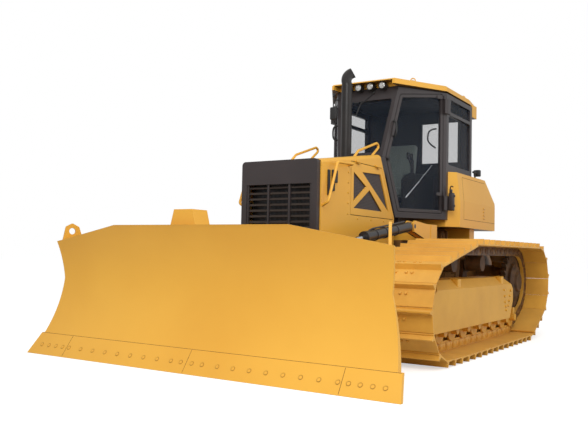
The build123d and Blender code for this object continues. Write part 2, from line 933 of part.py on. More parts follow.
# Cross walls between the side frames, with the cowl that closes the space behind the hood
cab_walls = slice_walls(
    ((-front_split, -far, 0), (front_split, split_y, far)),
    ((-rear_split, split_y, 0), (rear_split, far, far)),
)
with cab_walls:
    cowl_low, cowl_high = cab_foot_z + 55, hood_rear_z - 10
    cowl_front = [hood_rear(z) + cowl_gap for z in (cowl_low, cowl_high)]
    with BuildPart(mode=Mode.PRIVATE) as cowl:
        extrude(
            side_outline(
                -cowl_half,
                (cowl_front[0], cowl_low),
                (front_post_y(cowl_low), cowl_low),
                (front_post_y(cowl_high), cowl_high),
                (cowl_front[1], cowl_high),
            ),
            amount=2 * cowl_half,
        )
        with BuildSketch(Plane.XY.offset(cowl_low)):
            Polygon(
                (-cowl_half, cowl_front[1] - 1),
                (cowl_half, cowl_front[1] - 1),
                (cowl_half, cab_kink_y - 180),
                (cab_front_half, cab_kink_y),
                (cab_front_half, cab_foot_y),
                (-cab_front_half, cab_foot_y),
                (-cab_front_half, cab_kink_y),
                (-cowl_half, cab_kink_y - 180),
                align=None,
            )
        extrude(amount=cowl_high - cowl_low, mode=Mode.INTERSECT)
    add(cowl.part)
write(cab_walls, "cab_cross_walls")

# Doors: a frame round the glass, with hinge knuckles that turn on the hinge boxes
with BuildPart() as door:
    extrude(door_outline(door_gap), amount=door_thickness)
    extrude(door_outline(door_gap + door_frame), amount=3 * door_thickness, both=True, mode=Mode.SUBTRACT)
    for z in hinge_zs:
        foot = z + hinge_box / 2 + rest_gap
        with BuildSketch(door_plane) as strap:
            with Locations((hinge_u, foot)):
                Rectangle(100, 40, align=(Align.MIN, Align.MIN))
        extrude(strap.sketch, amount=-12)
        with Locations(door_plane * Location((hinge_u, foot, -hinge_out), (-90, 0, 0))):
            Cylinder(14, 40, align=(Align.CENTER, Align.CENTER, Align.MIN))
        with Locations(door_plane * Location((hinge_u, foot, -hinge_out), (90, 0, 0))):
            Cylinder(hinge_pin_radius, 50, align=(Align.CENTER, Align.CENTER, Align.MIN))
write_pair(door, "door")

with BuildPart() as door_glass:
    extrude(door_outline(door_gap + door_frame + rest_gap), amount=18 + glass_thickness)
    extrude(door_outline(0), amount=18, mode=Mode.SUBTRACT)
write_pair(door_glass, "door_glass")

# Cab glass: windscreen, side panes and rear pane, each within its opening
with BuildPart() as glass_skin:
    add(cab_volume(20, wall_foot_z, cab_head_z))
    add(cab_volume(20 + glass_thickness, wall_foot_z - 1, cab_head_z + 1), mode=Mode.SUBTRACT)
with BuildPart() as cab_glass:
    extrude(windscreen(rest_gap), amount=cab_post_y)
    extrude(side_window(-cab_half - 1, rest_gap), amount=2 * cab_half + 2)
    extrude(rear_window(rest_gap), amount=2 * cab_wall)
    add(glass_skin.part, mode=Mode.INTERSECT)
write(cab_glass, "cab_glass")

# Roof: a canopy wider than the walls, with a deep box at its rear and lifting eyes on top
roof_plan = [(425, roof_front_y), (812, 1055), (800, 1950), (750, roof_rear_y)]
with BuildPart() as roof:
    with BuildSketch(Plane.XY.offset(roof_base_z)):
        Polygon(*roof_plan, *((-x, y) for x, y in reversed(roof_plan)), align=None)
    extrude(amount=roof_top_z - roof_base_z)
    chamfer(roof.edges().group_by(Axis.Z)[-1], 18)
    with Locations((0, lamp_bay_y, roof_base_z)):
        Box(
            2 * lamp_bay_half,
            400,
            2 * (lamp_bay_top_z - roof_base_z),
            align=(Align.CENTER, Align.MAX, Align.CENTER),
            mode=Mode.SUBTRACT,
        )
    with Locations((0, cab_rear_y + 12, roof_base_z - roof_box_depth)):
        Box(
            2 * 790,
            roof_rear_y - cab_rear_y - 12,
            roof_box_depth + 20,
            align=(Align.CENTER, Align.MIN, Align.MIN),
        )
    for x, y in ((-505, 710), (505, 710), (-700, 1950), (700, 1950)):
        with BuildSketch(Plane.YZ.offset(x - 10)) as eye:
            with Locations((y, roof_top_z - 2)):
                SlotOverall(96, 60)
                Rectangle(96, 28, align=(Align.CENTER, Align.CENTER))
                Rectangle(200, 60, align=(Align.CENTER, Align.MAX), mode=Mode.SUBTRACT)
            with Locations((y, roof_top_z + 8)):
                SlotOverall(56, 20, mode=Mode.SUBTRACT)
        extrude(amount=20)
write(roof, "cab_roof")

# Head frame between the walls and the roof
with BuildPart() as head_frame:
    with BuildSketch(Plane.XY.offset(cab_head_z)):
        Polygon(
            (-390, lamp_bay_y),
            (390, lamp_bay_y),
            (765, cab_post_y),
            (755, cab_rear_y),
            (-755, cab_rear_y),
            (-765, cab_post_y),
            align=None,
        )
    extrude(amount=roof_base_z - cab_head_z)
write(head_frame, "cab_head_frame")

# Work lamps: four in the recess under the roof's front edge
lamp_xs = (-240, -80, 80, 240)
lamp_depth = 80
with BuildPart() as lamps:
    for x in lamp_xs:
        lamp_front_y = lamp_bay_y - 25 - lamp_depth
        with Locations(Location((x, lamp_front_y, lamp_z), (-90, 0, 0))):
            Cylinder(lamp_radius, lamp_depth, align=(Align.CENTER, Align.CENTER, Align.MIN))
        with Locations((x, lamp_bay_y, lamp_z)):
            Box(30, 60, 30, align=(Align.CENTER, Align.MAX, Align.MIN))
write(lamps, "work_lamps")

# Rear body: fuel tank round the back of the cab, creased, and leaning in above the crease
with BuildPart() as tank:
    with BuildSketch(Plane.XY.offset(tank_bottom_z)):
        Polygon(
            (780, tank_front_y),
            (tank_half, tank_front_y + 150),
            (tank_half, tank_rear_y - 60),
            (tank_half - 60, tank_rear_y),
            (60 - tank_half, tank_rear_y),
            (-tank_half, tank_rear_y - 60),
            (-tank_half, tank_front_y + 150),
            (-780, tank_front_y),
            align=None,
        )
    extrude(amount=tank_top_z - tank_bottom_z)
    extrude(
        side_outline(
            -tank_half,
            (tank_front_y, tank_bottom_z),
            (tank_rear_y, tank_bottom_z),
            (tank_rear_y, tank_crease_z),
            (tank_rear_top_y, tank_top_z),
            (tank_front_y, tank_top_z),
        ),
        amount=2 * tank_half,
        mode=Mode.INTERSECT,
    )
    for side in (-1, 1):
        with BuildSketch(Plane.XZ.offset(-tank_rear_y)) as lean:
            Polygon(
                (side * tank_half, tank_crease_z),
                (side * (tank_half - tank_lean), tank_top_z),
                (side * (tank_half + 5), tank_top_z),
                (side * (tank_half + 5), tank_crease_z),
                align=None,
            )
        extrude(lean.sketch, amount=tank_rear_y, mode=Mode.SUBTRACT)
    with BuildSketch(Plane.XY.offset(cab_foot_z - rest_gap)) as cab_seat:
        Polygon(*cab_plan, align=None)
        offset(amount=rest_gap)
    extrude(cab_seat.sketch, amount=tank_top_z, mode=Mode.SUBTRACT)
write(tank, "rear_body")

# Operator's seat and consoles on the cab floor
seat_y = 1180
with BuildPart() as seat:
    with Locations((0, seat_y, wall_foot_z)):
        Box(420, 420, 230, align=(Align.CENTER, Align.CENTER, Align.MIN))
    with Locations((0, seat_y - 20, wall_foot_z + 230)):
        Box(520, 520, 140, align=(Align.CENTER, Align.CENTER, Align.MIN))
    extrude(
        side_outline(
            -240,
            (seat_y + 130, wall_foot_z + 370),
            (seat_y + 240, wall_foot_z + 300),
            (seat_y + 340, wall_foot_z + 960),
            (seat_y + 240, wall_foot_z + 970),
        ),
        amount=480,
    )
    fillet(seat.edges().filter_by(Axis.X).sort_by(Axis.Z)[-2:], 30)
write(seat, "seat")

with BuildPart() as consoles:
    for x in (-400, 400):
        extrude(
            side_outline(
                x - 85,
                (seat_y - 320, wall_foot_z),
                (seat_y + 260, wall_foot_z),
                (seat_y + 260, wall_foot_z + 560),
                (seat_y - 260, wall_foot_z + 520),
                (seat_y - 360, wall_foot_z + 440),
            ),
            amount=170,
        )
        with Locations((x, seat_y - 220, wall_foot_z + 470)):
            Cylinder(22, 230, align=(Align.CENTER, Align.CENTER, Align.MIN))
    dash_foot_y = front_post_y(wall_foot_z) + cab_wall + 1
    dash_top_z = cab_kink_z - 80
    extrude(
        side_outline(
            -200,
            (dash_foot_y, wall_foot_z),
            (dash_foot_y + 145, wall_foot_z),
            (dash_foot_y + 70, dash_top_z - 60),
            (front_post_y(dash_top_z) + cab_wall + 1, dash_top_z),
        ),
        amount=400,
    )
write(consoles, "consoles")

# Grab rails on the hood
rail_radius = 14
with BuildPart() as rails:
    for x, points in (
        (400, ((-600, -10), (-500, 57), (-53, 131), (13, 91), (-176, -10))),
        (-400, ((-600, -10), (-500, 57), (-53, 131), (13, 91), (-176, -10))),
    ):
        with BuildLine() as path:
            FilletPolyline(*((x, y, hood_top(y) + rise) for y, rise in points), radius=25)
        with BuildSketch(Plane(path.line @ 0, z_dir=path.line % 0)) as section:
            Circle(rail_radius)
        sweep(section.sketch, path=path.line)
    for side in (-1, 1):
        with BuildLine() as path:
            FilletPolyline(
                (side * (hood_half - 8), -835, 1945),
                (side * (hood_half + 72), -870, 1950),
                (side * (hood_half + 72), -1200, 1935),
                (side * (hood_half + 72), -1370, 1530),
                (side * (hood_half - 8), -1360, 1490),
                radius=36,
            )
        with BuildSketch(Plane(path.line @ 0, z_dir=path.line % 0)) as section:
            Circle(rail_radius)
        sweep(section.sketch, path=path.line)
    extrude(
        side_outline(
            -hood_half,
            (housing_front_y, rail_top_z),
            (hood_foot_y, rail_top_z),
            (hood_foot_y, hood_foot_z),
            (hood_rear_y, hood_rear_z),
            (housing_front_y, nose_top_z),
        ),
        amount=2 * hood_half,
        mode=Mode.SUBTRACT,
    )
write(rails, "hood_rails")

# Mouldboard: a rolled plate whose top slopes down to each end, above the cutting edge
slope_y = math.tan(math.radians(edge_slope))
edge_depth = edge_plate / math.cos(math.radians(edge_slope))
edge_back_y = blade_tip_y + edge_depth
edge_foot_z = 60
roll_start = (blade_tip_y + edge_height * slope_y, edge_height)


def roll(back, foot=0):
    """The mouldboard's rolled line, moved back by that much, and by more at its foot."""
    start = (roll_start[0] + back + foot, roll_start[1])
    return ThreePointArc(start, (waist_y + back, waist_z), (blade_top_y + back, blade_height))


with BuildPart() as mouldboard:
    with BuildSketch(Plane.YZ.offset(-blade_foot_half)):
        with BuildLine():
            front_roll = roll(0)
            back_roll = roll(blade_plate, edge_depth)
            Line(front_roll @ 1, back_roll @ 1)
            Polyline(
                back_roll @ 0,
                (edge_back_y + edge_foot_z * slope_y + blade_plate, edge_foot_z),
                (edge_back_y + edge_foot_z * slope_y, edge_foot_z),
                (edge_back_y + edge_height * slope_y, edge_height),
                front_roll @ 0,
            )
        make_face()
    extrude(amount=2 * blade_foot_half)
    with BuildSketch(Plane.XZ.offset(-blade_tip_y)) as front_view:
        Polygon(
            (-blade_foot_half, 0),
            (blade_foot_half, 0),
            (blade_foot_half, edge_height),
            (blade_waist_half, waist_z),
            (blade_shoulder_half, shoulder_height),
            (blade_flat_half, blade_height),
            (-blade_flat_half, blade_height),
            (-blade_shoulder_half, shoulder_height),
            (-blade_waist_half, waist_z),
            (-blade_foot_half, edge_height),
            align=None,
        )
    extrude(front_view.sketch, amount=-500, mode=Mode.INTERSECT)
write(mouldboard, "mouldboard")

# Cutting edge with its corner bits, ground flat where it meets the ground
with BuildPart() as cutting_edge:
    extrude(
        side_outline(
            -blade_half,
            (blade_tip_y, 0),
            (blade_tip_y + edge_height * slope_y, edge_height),
            (edge_back_y + edge_height * slope_y, edge_height),
            (edge_back_y, 0),
        ),
        amount=2 * blade_half,
    )
    for side in (-1, 1):
        with BuildSketch(Plane.XZ.offset(-blade_tip_y)) as corner:
            Polygon(
                (side * blade_half, 0),
                (side * (blade_half + 1), 0),
                (side * (blade_half + 1), edge_height),
                (side * edge_top_half, edge_height),
                align=None,
            )
        extrude(corner.sketch, amount=-300, mode=Mode.SUBTRACT)
write(cutting_edge, "cutting_edge")

# Stiffening on the blade's back: lower box beam, upper beam and upright ribs
rib_gap = blade_plate + rest_gap
lower_top_z = 560
upper_foot_z = 950
upper_top_z = 1090
upper_back_y = -2530
with BuildPart() as blade_back:
    for low, high, half in ((edge_height, lower_top_z, lower_half), (upper_foot_z, upper_top_z, upper_half)):
        back = back_y if low == edge_height else upper_back_y
        with BuildSketch(Plane.YZ.offset(-half)):
            with BuildLine():
                front = roll(rib_gap, edge_depth)
                Polyline(front @ 0, (back, roll_start[1]), (back, blade_height), front @ 1)
            make_face()
            with Locations((back, low)):
                Rectangle(900, high - low, align=(Align.CENTER, Align.MIN), mode=Mode.INTERSECT)
        extrude(amount=2 * half)
    for x in (-1720, -1150, -560, 560, tilt_eye_x - 35, tilt_eye_x + 78, 1150, 1720):
        with BuildSketch(Plane.YZ.offset(x - 11)):
            with BuildLine():
                front = roll(rib_gap, edge_depth)
                Polyline(front @ 0, (back_y, roll_start[1]), (back_y, lower_top_z), (upper_back_y, upper_foot_z))
                Polyline((upper_back_y, upper_foot_z), (upper_back_y, upper_top_z), (-2600, 1180), front @ 1)
            make_face()
            with Locations((back_y, edge_height)):
                Rectangle(900, upper_top_z - edge_height, align=(Align.CENTER, Align.MIN), mode=Mode.INTERSECT)
        extrude(amount=22)
    with Locations(Location((0, back_y, tilt_z), (90, 0, 0))):
        Cylinder(king_pin_radius + fit, 105, align=(Align.CENTER, Align.CENTER, Align.MIN), mode=Mode.SUBTRACT)
    arm_reach = cylinder_y + lug_gap / 2 + lug_plate
    with Locations((tilt_eye_x, -2520, tilt_eye_z)):
        Box(100, cylinder_y - lug_gap / 2 + 2520, 100, align=(Align.CENTER, Align.MIN, Align.CENTER))
    with Locations((tilt_eye_x + eye_radius + 10, -2520, tilt_eye_z)):
        Box(lug_plate, arm_reach + 2520, 100, align=(Align.MIN, Align.MIN, Align.CENTER))
    with Locations((tilt_eye_x - 50, arm_reach, tilt_eye_z)):
        Box(60 + eye_radius + lug_plate, lug_plate, 100, align=(Align.MIN, Align.MAX, Align.CENTER))
write(blade_back, "blade_back")

# Lifting eyes on the blade's back, turned inwards for the chains
with BuildPart() as lift_eyes:
    eye_hole = 32
    eye_plane = Plane((1770, -2600, 1000), x_dir=(-0.42, 0.9075, 0), z_dir=(0.9075, 0.42, 0))
    with BuildSketch(eye_plane) as eye:
        Polygon((-26, 90), (185, 90), (134, 240), (66, 274), (4, 240), align=None)
        fillet(eye.vertices().group_by(Axis.Y)[1:], 16)
        with Locations((68, 195)):
            Circle(eye_hole, mode=Mode.SUBTRACT)
    extrude(eye.sketch, amount=12, both=True)
    mirror(about=Plane.YZ)
write(lift_eyes, "blade_lift_eyes")

# Push frame: two arms, the cross beam, the nose for the king pin, and the lugs of the cylinders
beam_depth = push_beam_rear_y - push_beam_front_y
push_beam_height = push_beam_top_z - push_beam_bottom_z
push_beam_half = lift_x + lug_gap / 2 + lug_plate
shelf_top_z = angle_z + lug_gap / 2 + lug_plate
with BuildPart() as push_frame:
    with BuildSketch(Plane.YZ.offset(arm_x - arm_width / 2)):
        Polygon(
            (pivot_y, pivot_z - arm_height / 2),
            (pivot_y, pivot_z + arm_height / 2),
            (push_beam_rear_y + 1, push_beam_top_z),
            (push_beam_rear_y - 100, push_beam_top_z),
            (push_beam_rear_y - 100, push_beam_bottom_z),
            (push_beam_rear_y + 1, push_beam_bottom_z),
            align=None,
        )
        with Locations((pivot_y, pivot_z)):
            Circle(arm_height / 2 + 15)
    extrude(amount=arm_width)
    for x in (lift_x - lug_gap / 2 - lug_plate, lift_x + lug_gap / 2):
        with BuildSketch(Plane.YZ.offset(x)):
            Polygon(
                (lift_lug_front_y, push_beam_top_z),
                (push_beam_rear_y, push_beam_top_z),
                (lift_eye_y + eye_radius, lift_eye_z),
                (lift_eye_y - eye_radius, lift_eye_z),
                align=None,
            )
            with Locations((lift_eye_y, lift_eye_z)):
                Circle(eye_radius)
        extrude(amount=lug_plate)
    for z in (angle_z - lug_gap / 2 - lug_plate, angle_z + lug_gap / 2):
        with BuildSketch(Plane.XY.offset(z)):
            with Locations((angle_base_x, angle_base_y)):
                Circle(eye_radius)
                Rectangle(100, 2 * eye_radius, align=(Align.MIN, Align.CENTER))
                Circle(base_pin_radius + fit, mode=Mode.SUBTRACT)
        extrude(amount=lug_plate)
    shelf_x = angle_base_x + eye_radius + 14
    with Locations((shelf_x, angle_base_y, push_beam_top_z - 80)):
        Box(
            arm_x - arm_width / 2 + 20 - shelf_x,
            110,
            shelf_top_z - push_beam_top_z + 80,
            align=(Align.MIN, Align.CENTER, Align.MIN),
        )
    with Locations((0, push_beam_front_y, push_beam_bottom_z)):
        Box(push_beam_half, beam_depth, push_beam_height, align=(Align.MIN, Align.MIN, Align.MIN))
    with BuildSketch(Plane.XY.offset(push_beam_bottom_z)):
        with Locations((0, king_pin_y)):
            Circle(nose_boss_radius)
        with Locations((0, push_beam_front_y)):
            Rectangle(660, 20, align=(Align.CENTER, Align.MIN))
        make_hull()
    extrude(amount=push_beam_height)
    mirror(about=Plane.YZ)
    with Locations((0, king_pin_y, push_beam_bottom_z)):
        Cylinder(
            king_pin_radius + fit,
            push_beam_height,
            align=(Align.CENTER, Align.CENTER, Align.MIN),
            mode=Mode.SUBTRACT,
        )
    with Locations(Location((0, pivot_y, pivot_z), (0, 90, 0))):
        Cylinder(trunnion_radius + fit, 2 * (arm_x + arm_width), mode=Mode.SUBTRACT)
write(push_frame, "push_frame")

# Trunnions of the push frame, on the hull's sides
with BuildPart() as trunnions:
    turned(
        (0, pivot_y, pivot_z),
        (hull_half, 0),
        (hull_half, 120),
        (arm_x - arm_width / 2 - side_gap, 90),
        (arm_x - arm_width / 2 - side_gap, 60),
        (arm_x + arm_width / 2 + side_gap, 60),
        (arm_x + arm_width / 2 + side_gap, 85),
        (arm_x + arm_width / 2 + 25, 85),
        (arm_x + arm_width / 2 + 25, 0),
    )
    mirror(about=Plane.YZ)
write(trunnions, "frame_trunnions")

# Yoke: turns on the king pin to angle the blade, and carries the pin that the blade tilts on
yoke_front_y = back_y + side_gap
with BuildPart() as yoke:
    plate_back_y = yoke_front_y + yoke_plate
    with Locations((0, yoke_front_y, 300)):
        Box(2 * yoke_half, yoke_plate, 440, align=(Align.CENTER, Align.MIN, Align.MIN))
    for z, height in ((push_beam_bottom_z - side_gap - 55, 55), (push_beam_top_z + side_gap, 55)):
        with BuildSketch(Plane.XY.offset(z)) as ear:
            with Locations((0, king_pin_y)):
                Circle(nose_boss_radius)
            with Locations((0, plate_back_y)):
                Rectangle(460, 40, align=(Align.CENTER, Align.MIN))
            make_hull()
        extrude(ear.sketch, amount=height)
    with Locations((0, king_pin_y, push_beam_bottom_z - side_gap - 30)):
        Cylinder(king_pin_radius, 340, align=(Align.CENTER, Align.CENTER, Align.MIN))
    with Locations(Location((0, yoke_front_y + 1, tilt_z), (90, 0, 0))):
        Cylinder(king_pin_radius, 96, align=(Align.CENTER, Align.CENTER, Align.MIN))
    for side in (-1, 1):
        for z in (angle_z - lug_gap / 2 - lug_plate, angle_z + lug_gap / 2):
            with BuildSketch(Plane.XY.offset(z)) as wing:
                with Locations((side * angle_eye_x, angle_eye_y)):
                    Circle(46)
                with Locations((side * angle_eye_x, plate_back_y)):
                    Rectangle(110, 20, align=(Align.CENTER, Align.MIN))
                make_hull()
            extrude(wing.sketch, amount=lug_plate)
    mast_web = 35
    extrude(
        side_outline(
            -mast_web,
            (plate_back_y, push_beam_top_z + 60),
            (king_pin_y + 60, push_beam_top_z + 60),
            (mast_rear_y, mast_rear_z - 90),
            (mast_rear_y, mast_rear_z - 60),
            (-2420, mast_rear_z - 60),
            (-2420, 740),
            (plate_back_y, 740),
        ),
        amount=2 * mast_web,
    )
    with BuildSketch(Plane.XZ.offset(-yoke_front_y)) as mast:
        Polygon(
            (-190, 740),
            (190, 740),
            (mast_x + 170, 1150),
            (mast_x + 105, mast_top_z),
            (mast_x - 105, mast_top_z),
            (mast_x - 170, 1150),
            align=None,
        )
    extrude(mast.sketch, amount=-yoke_plate)
    with BuildSketch(Plane.XZ.offset(-(yoke_front_y + yoke_plate))) as head:
        Polygon(
            (mast_x - 170, 1150),
            (mast_x + 170, 1150),
            (mast_x + 105, mast_top_z),
            (mast_x - 105, mast_top_z),
            align=None,
        )
    extrude(head.sketch, amount=mast_front_depth)
    for y in (cylinder_y - lug_gap / 2 - lug_plate, cylinder_y + lug_gap / 2):
        with BuildSketch(Plane.XZ.offset(-y)) as lug:
            with Locations((tilt_base_x, tilt_base_z)):
                Circle(46)
                Rectangle(140, 92, align=(Align.MAX, Align.CENTER))
                Circle(22 + fit, mode=Mode.SUBTRACT)
        extrude(lug.sketch, amount=-lug_plate)
write(yoke, "angle_yoke")


def cylinder_parts(base, eye, hinge, barrel_radius, rod_radius, barrel_length, rod_start, pin_radius):
    """A cylinder's barrel and rod, from its base pin to the eye at the rod's end."""
    along = Vector(*eye) - Vector(*base)
    frame = Plane(base, x_dir=hinge, z_dir=along)
    across = (0, 90, 0)
    eye_width = lug_gap - 2 * side_gap
    with BuildPart() as barrel:
        with Locations(frame * Location((0, 0, 0), across)):
            Cylinder(eye_radius - 2, eye_width)
            Cylinder(pin_radius, lug_gap + 2 * lug_plate)
        with Locations(frame * Location((0, 0, 0))):
            Box(eye_width - 10, 60, 80, align=(Align.CENTER, Align.CENTER, Align.MIN))
        with Locations(frame * Location((0, 0, 72))):
            Cylinder(barrel_radius, barrel_length - 72, align=(Align.CENTER, Align.CENTER, Align.MIN))
        with Locations(frame * Location((0, 0, barrel_length - 60))):
            Cylinder(barrel_radius + 7, 60, align=(Align.CENTER, Align.CENTER, Align.MIN))
        with Locations(frame * Location((0, 0, 92))):
            Cylinder(
                rod_radius + fit,
                barrel_length,
                align=(Align.CENTER, Align.CENTER, Align.MIN),
                mode=Mode.SUBTRACT,
            )
    with BuildPart() as rod:
        with Locations(frame * Location((0, 0, rod_start))):
            Cylinder(rod_radius, along.length - rod_start, align=(Align.CENTER, Align.CENTER, Align.MIN))
        with Locations(frame * Location((0, 0, along.length), across)):
            Cylinder(eye_radius - 2, eye_width)
    return barrel, rod


lift_barrel, lift_rod = cylinder_parts(
    (lift_x, lift_base_y, lift_base_z), (lift_x, lift_eye_y, lift_eye_z), (1, 0, 0), 54, 24, 1150, 390, 25
)
write_pair(lift_barrel, "lift_barrel")
write_pair(lift_rod, "lift_rod")

angle_barrel, angle_rod = cylinder_parts(
    (angle_base_x, angle_base_y, angle_z), (angle_eye_x, angle_eye_y, angle_z), (0, 0, 1), 42, 24, 700, 370, 25
)
write_pair(angle_barrel, "angle_barrel")
write_pair(angle_rod, "angle_rod")

tilt_barrel, tilt_rod = cylinder_parts(
    (tilt_base_x, cylinder_y, tilt_base_z), (tilt_eye_x, cylinder_y, tilt_eye_z), (0, 1, 0), 40, 22, 400, 185, 22
)
write(tilt_barrel, "tilt_barrel")
write(tilt_rod, "tilt_rod")
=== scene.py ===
import math
import bmesh
import bpy
from mathutils import Matrix, Vector


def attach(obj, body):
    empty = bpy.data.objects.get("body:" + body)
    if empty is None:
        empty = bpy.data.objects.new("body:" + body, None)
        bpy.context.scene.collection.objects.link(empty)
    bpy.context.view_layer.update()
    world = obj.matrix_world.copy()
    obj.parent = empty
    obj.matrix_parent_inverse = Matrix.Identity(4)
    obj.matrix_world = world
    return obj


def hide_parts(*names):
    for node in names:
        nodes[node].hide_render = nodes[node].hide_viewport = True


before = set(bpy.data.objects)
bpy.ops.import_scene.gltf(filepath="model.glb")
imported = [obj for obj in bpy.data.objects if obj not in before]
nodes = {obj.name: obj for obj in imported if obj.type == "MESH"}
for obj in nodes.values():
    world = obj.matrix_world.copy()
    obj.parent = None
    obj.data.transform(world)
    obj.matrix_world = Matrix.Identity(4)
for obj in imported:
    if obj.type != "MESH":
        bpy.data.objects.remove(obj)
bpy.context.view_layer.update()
print("frame loaded,", len(nodes), "nodes")

# Small tools


def toLinear(code):  # "#RRGGBB" as written on a colour card, turned to linear light
    channels = [int(code[i:i + 2], 16) / 255 for i in (1, 3, 5)]
    return [c / 12.92 if c <= 0.04045 else ((c + 0.055) / 1.055) ** 2.4 for c in channels] + [1]


def addNode(tree, kind, settings=None, links=None):
    node = tree.nodes.new(kind)
    for name, value in (settings or {}).items():
        if isinstance(name, str) and hasattr(node, name):
            setattr(node, name, value)
        else:
            node.inputs[name].default_value = value
    for name, source in (links or {}).items():
        tree.links.new(source, node.inputs[name])
    return node


def newMaterial(name, **sockets):
    material = bpy.data.materials.new(name)
    material.use_nodes = True
    tree = material.node_tree
    tree.nodes.clear()
    shader = addNode(tree, "ShaderNodeBsdfPrincipled", {k.replace("_", " "): v for k, v in sockets.items()})
    addNode(tree, "ShaderNodeOutputMaterial", links={"Surface": shader.outputs["BSDF"]})
    place = addNode(tree, "ShaderNodeTexCoord").outputs["Object"]
    return material, tree, shader, place


# Studio: white sweep, a broad key light in front and above, a weaker one at the side, soft fill all round
studio = {
    "cameraPlace": (4.0515, -7.504, 1.026),  # found from the photograph's vanishing points
    "cameraTurn": (92.52, -1.155, 32.44),  # degrees
    "lens": 44.63,  # mm, on a sensor 36 mm wide
    "fill": 0.74,
    "keyPower": 440,
    "keyPlace": (3.4, -7.0, 6.5),
    "keySize": 5.0,
    "sidePower": 90,
    "sidePlace": (7.5, 1.0, 4.2),
}
camera = bpy.data.objects.new("camera", bpy.data.cameras.new("camera"))
bpy.context.scene.collection.objects.link(camera)
camera.location = studio["cameraPlace"]
camera.rotation_euler = [math.radians(turn) for turn in studio["cameraTurn"]]
camera.data.lens = studio["lens"]
camera.data.sensor_width = 36
camera.data.clip_end = 200
bpy.context.scene.camera = camera
bpy.context.scene.view_settings.view_transform = "Standard"

for lightName in ("key", "side"):
    lamp = bpy.data.lights.new(lightName, "AREA")
    lamp.energy = studio[lightName + "Power"]
    lamp.size = studio["keySize"]
    holder = bpy.data.objects.new(lightName, lamp)
    holder.location = studio[lightName + "Place"]
    holder.rotation_euler = (Vector((0, 0, 1)) - holder.location).to_track_quat("-Z", "Y").to_euler()
    bpy.context.scene.collection.objects.link(holder)

world = bpy.data.worlds.new("studio")
bpy.context.scene.world = world
world.use_nodes = True
tree = world.node_tree
tree.nodes.clear()
rays = addNode(tree, "ShaderNodeLightPath")
seen = addNode(tree, "ShaderNodeMath", {"operation": "MAXIMUM"},
               {0: rays.outputs["Is Camera Ray"], 1: rays.outputs["Is Transmission Ray"]})
fill = addNode(tree, "ShaderNodeBackground", {"Color": toLinear("#F4F6F8"), "Strength": studio["fill"]})
white = addNode(tree, "ShaderNodeBackground", {"Color": (1, 1, 1, 1), "Strength": 1})
mixed = addNode(tree, "ShaderNodeMixShader",
                links={0: seen.outputs[0], 1: fill.outputs[0], 2: white.outputs[0]})
addNode(tree, "ShaderNodeOutputWorld", links={"Surface": mixed.outputs[0]})

bpy.ops.mesh.primitive_plane_add(size=120, location=(0, 0, -0.001))
floor = bpy.context.object
floor.name = "floor"
sweep, tree, shader, place = newMaterial("painted studio floor, matt", Roughness=0.9)
shader.inputs["Base Color"].default_value = toLinear("#D2D2D0")
rays = addNode(tree, "ShaderNodeLightPath")
glow = addNode(tree, "ShaderNodeMath", {"operation": "MULTIPLY", 1: 0.55}, {0: rays.outputs["Is Camera Ray"]})
shader.inputs["Emission Color"].default_value = (1, 1, 1, 1)
tree.links.new(glow.outputs[0], shader.inputs["Emission Strength"])
floor.data.materials.append(sweep)
print("studio ready")

# Materials


# A sprayed coat on steel: soft gloss, orange peel, faint dust on level faces,
# and painted shade, dark brown, on faces that look down, where the look asks for it
def sprayedSteel(name, look):
    material, tree, shader, place = newMaterial(name, Coat_Weight=look["coat"], Coat_Roughness=0.25,
                                                 Specular_IOR_Level=0.3)
    clouds = addNode(tree, "ShaderNodeTexNoise", {"Scale": 1 / look["cloudSize"], "Detail": 5},
                     {"Vector": place})
    tone = addNode(tree, "ShaderNodeMapRange", {"From Min": 0.35, "From Max": 0.65},
                   {"Value": clouds.outputs["Fac"]})
    paint = addNode(tree, "ShaderNodeMix",
                    {"data_type": "RGBA", 6: toLinear(look["colour"]), 7: toLinear(look["shade"])},
                    {0: tone.outputs["Result"]})
    normal = addNode(tree, "ShaderNodeNewGeometry").outputs["Normal"]
    axes = addNode(tree, "ShaderNodeSeparateXYZ", links={0: normal})
    specks = addNode(tree, "ShaderNodeTexNoise", {"Scale": 22, "Detail": 8, "Roughness": 0.7},
                     {"Vector": place})
    level = addNode(tree, "ShaderNodeMapRange", {"From Min": 0.55, "From Max": 1.0, "To Max": look["dust"]},
                    {"Value": axes.outputs["Z"]})
    dusty = addNode(tree, "ShaderNodeMath", {"operation": "MULTIPLY"},
                    {0: level.outputs[0], 1: specks.outputs["Fac"]})
    colour = addNode(tree, "ShaderNodeMix", {"data_type": "RGBA", 7: toLinear("#C2A876")},
                     {0: dusty.outputs[0], 6: paint.outputs[2]})
    # Painted shade: faces that look down turn dark brown, as far as the look asks
    paintedUnderShade = addNode(tree, "ShaderNodeMapRange",
                    {"From Min": -0.5, "From Max": -0.95, "To Max": look.get("shadeTint", 0.0)},
                    {"Value": axes.outputs["Z"]})
    colour = addNode(tree, "ShaderNodeMix", {"data_type": "RGBA", 7: toLinear("#4A3018")},
                     {0: paintedUnderShade.outputs[0], 6: colour.outputs[2]})
    tree.links.new(colour.outputs[2], shader.inputs["Base Color"])
    gloss = addNode(tree, "ShaderNodeMapRange", {"To Min": look["gloss"], "To Max": look["gloss"] + 0.12},
                    {"Value": specks.outputs["Fac"]})
    tree.links.new(gloss.outputs[0], shader.inputs["Roughness"])
    rounded = addNode(tree, "ShaderNodeBevel", {"samples": 4, "Radius": look["edge"]})
    peel = addNode(tree, "ShaderNodeTexNoise", {"Scale": 1 / look["peelSize"], "Detail": 3},
                   {"Vector": place})
    bump = addNode(tree, "ShaderNodeBump", {"Strength": look["peel"], "Distance": 0.0006},
                   {"Height": peel.outputs["Fac"], "Normal": rounded.outputs[0]})
    tree.links.new(bump.outputs[0], shader.inputs["Normal"])
    return material
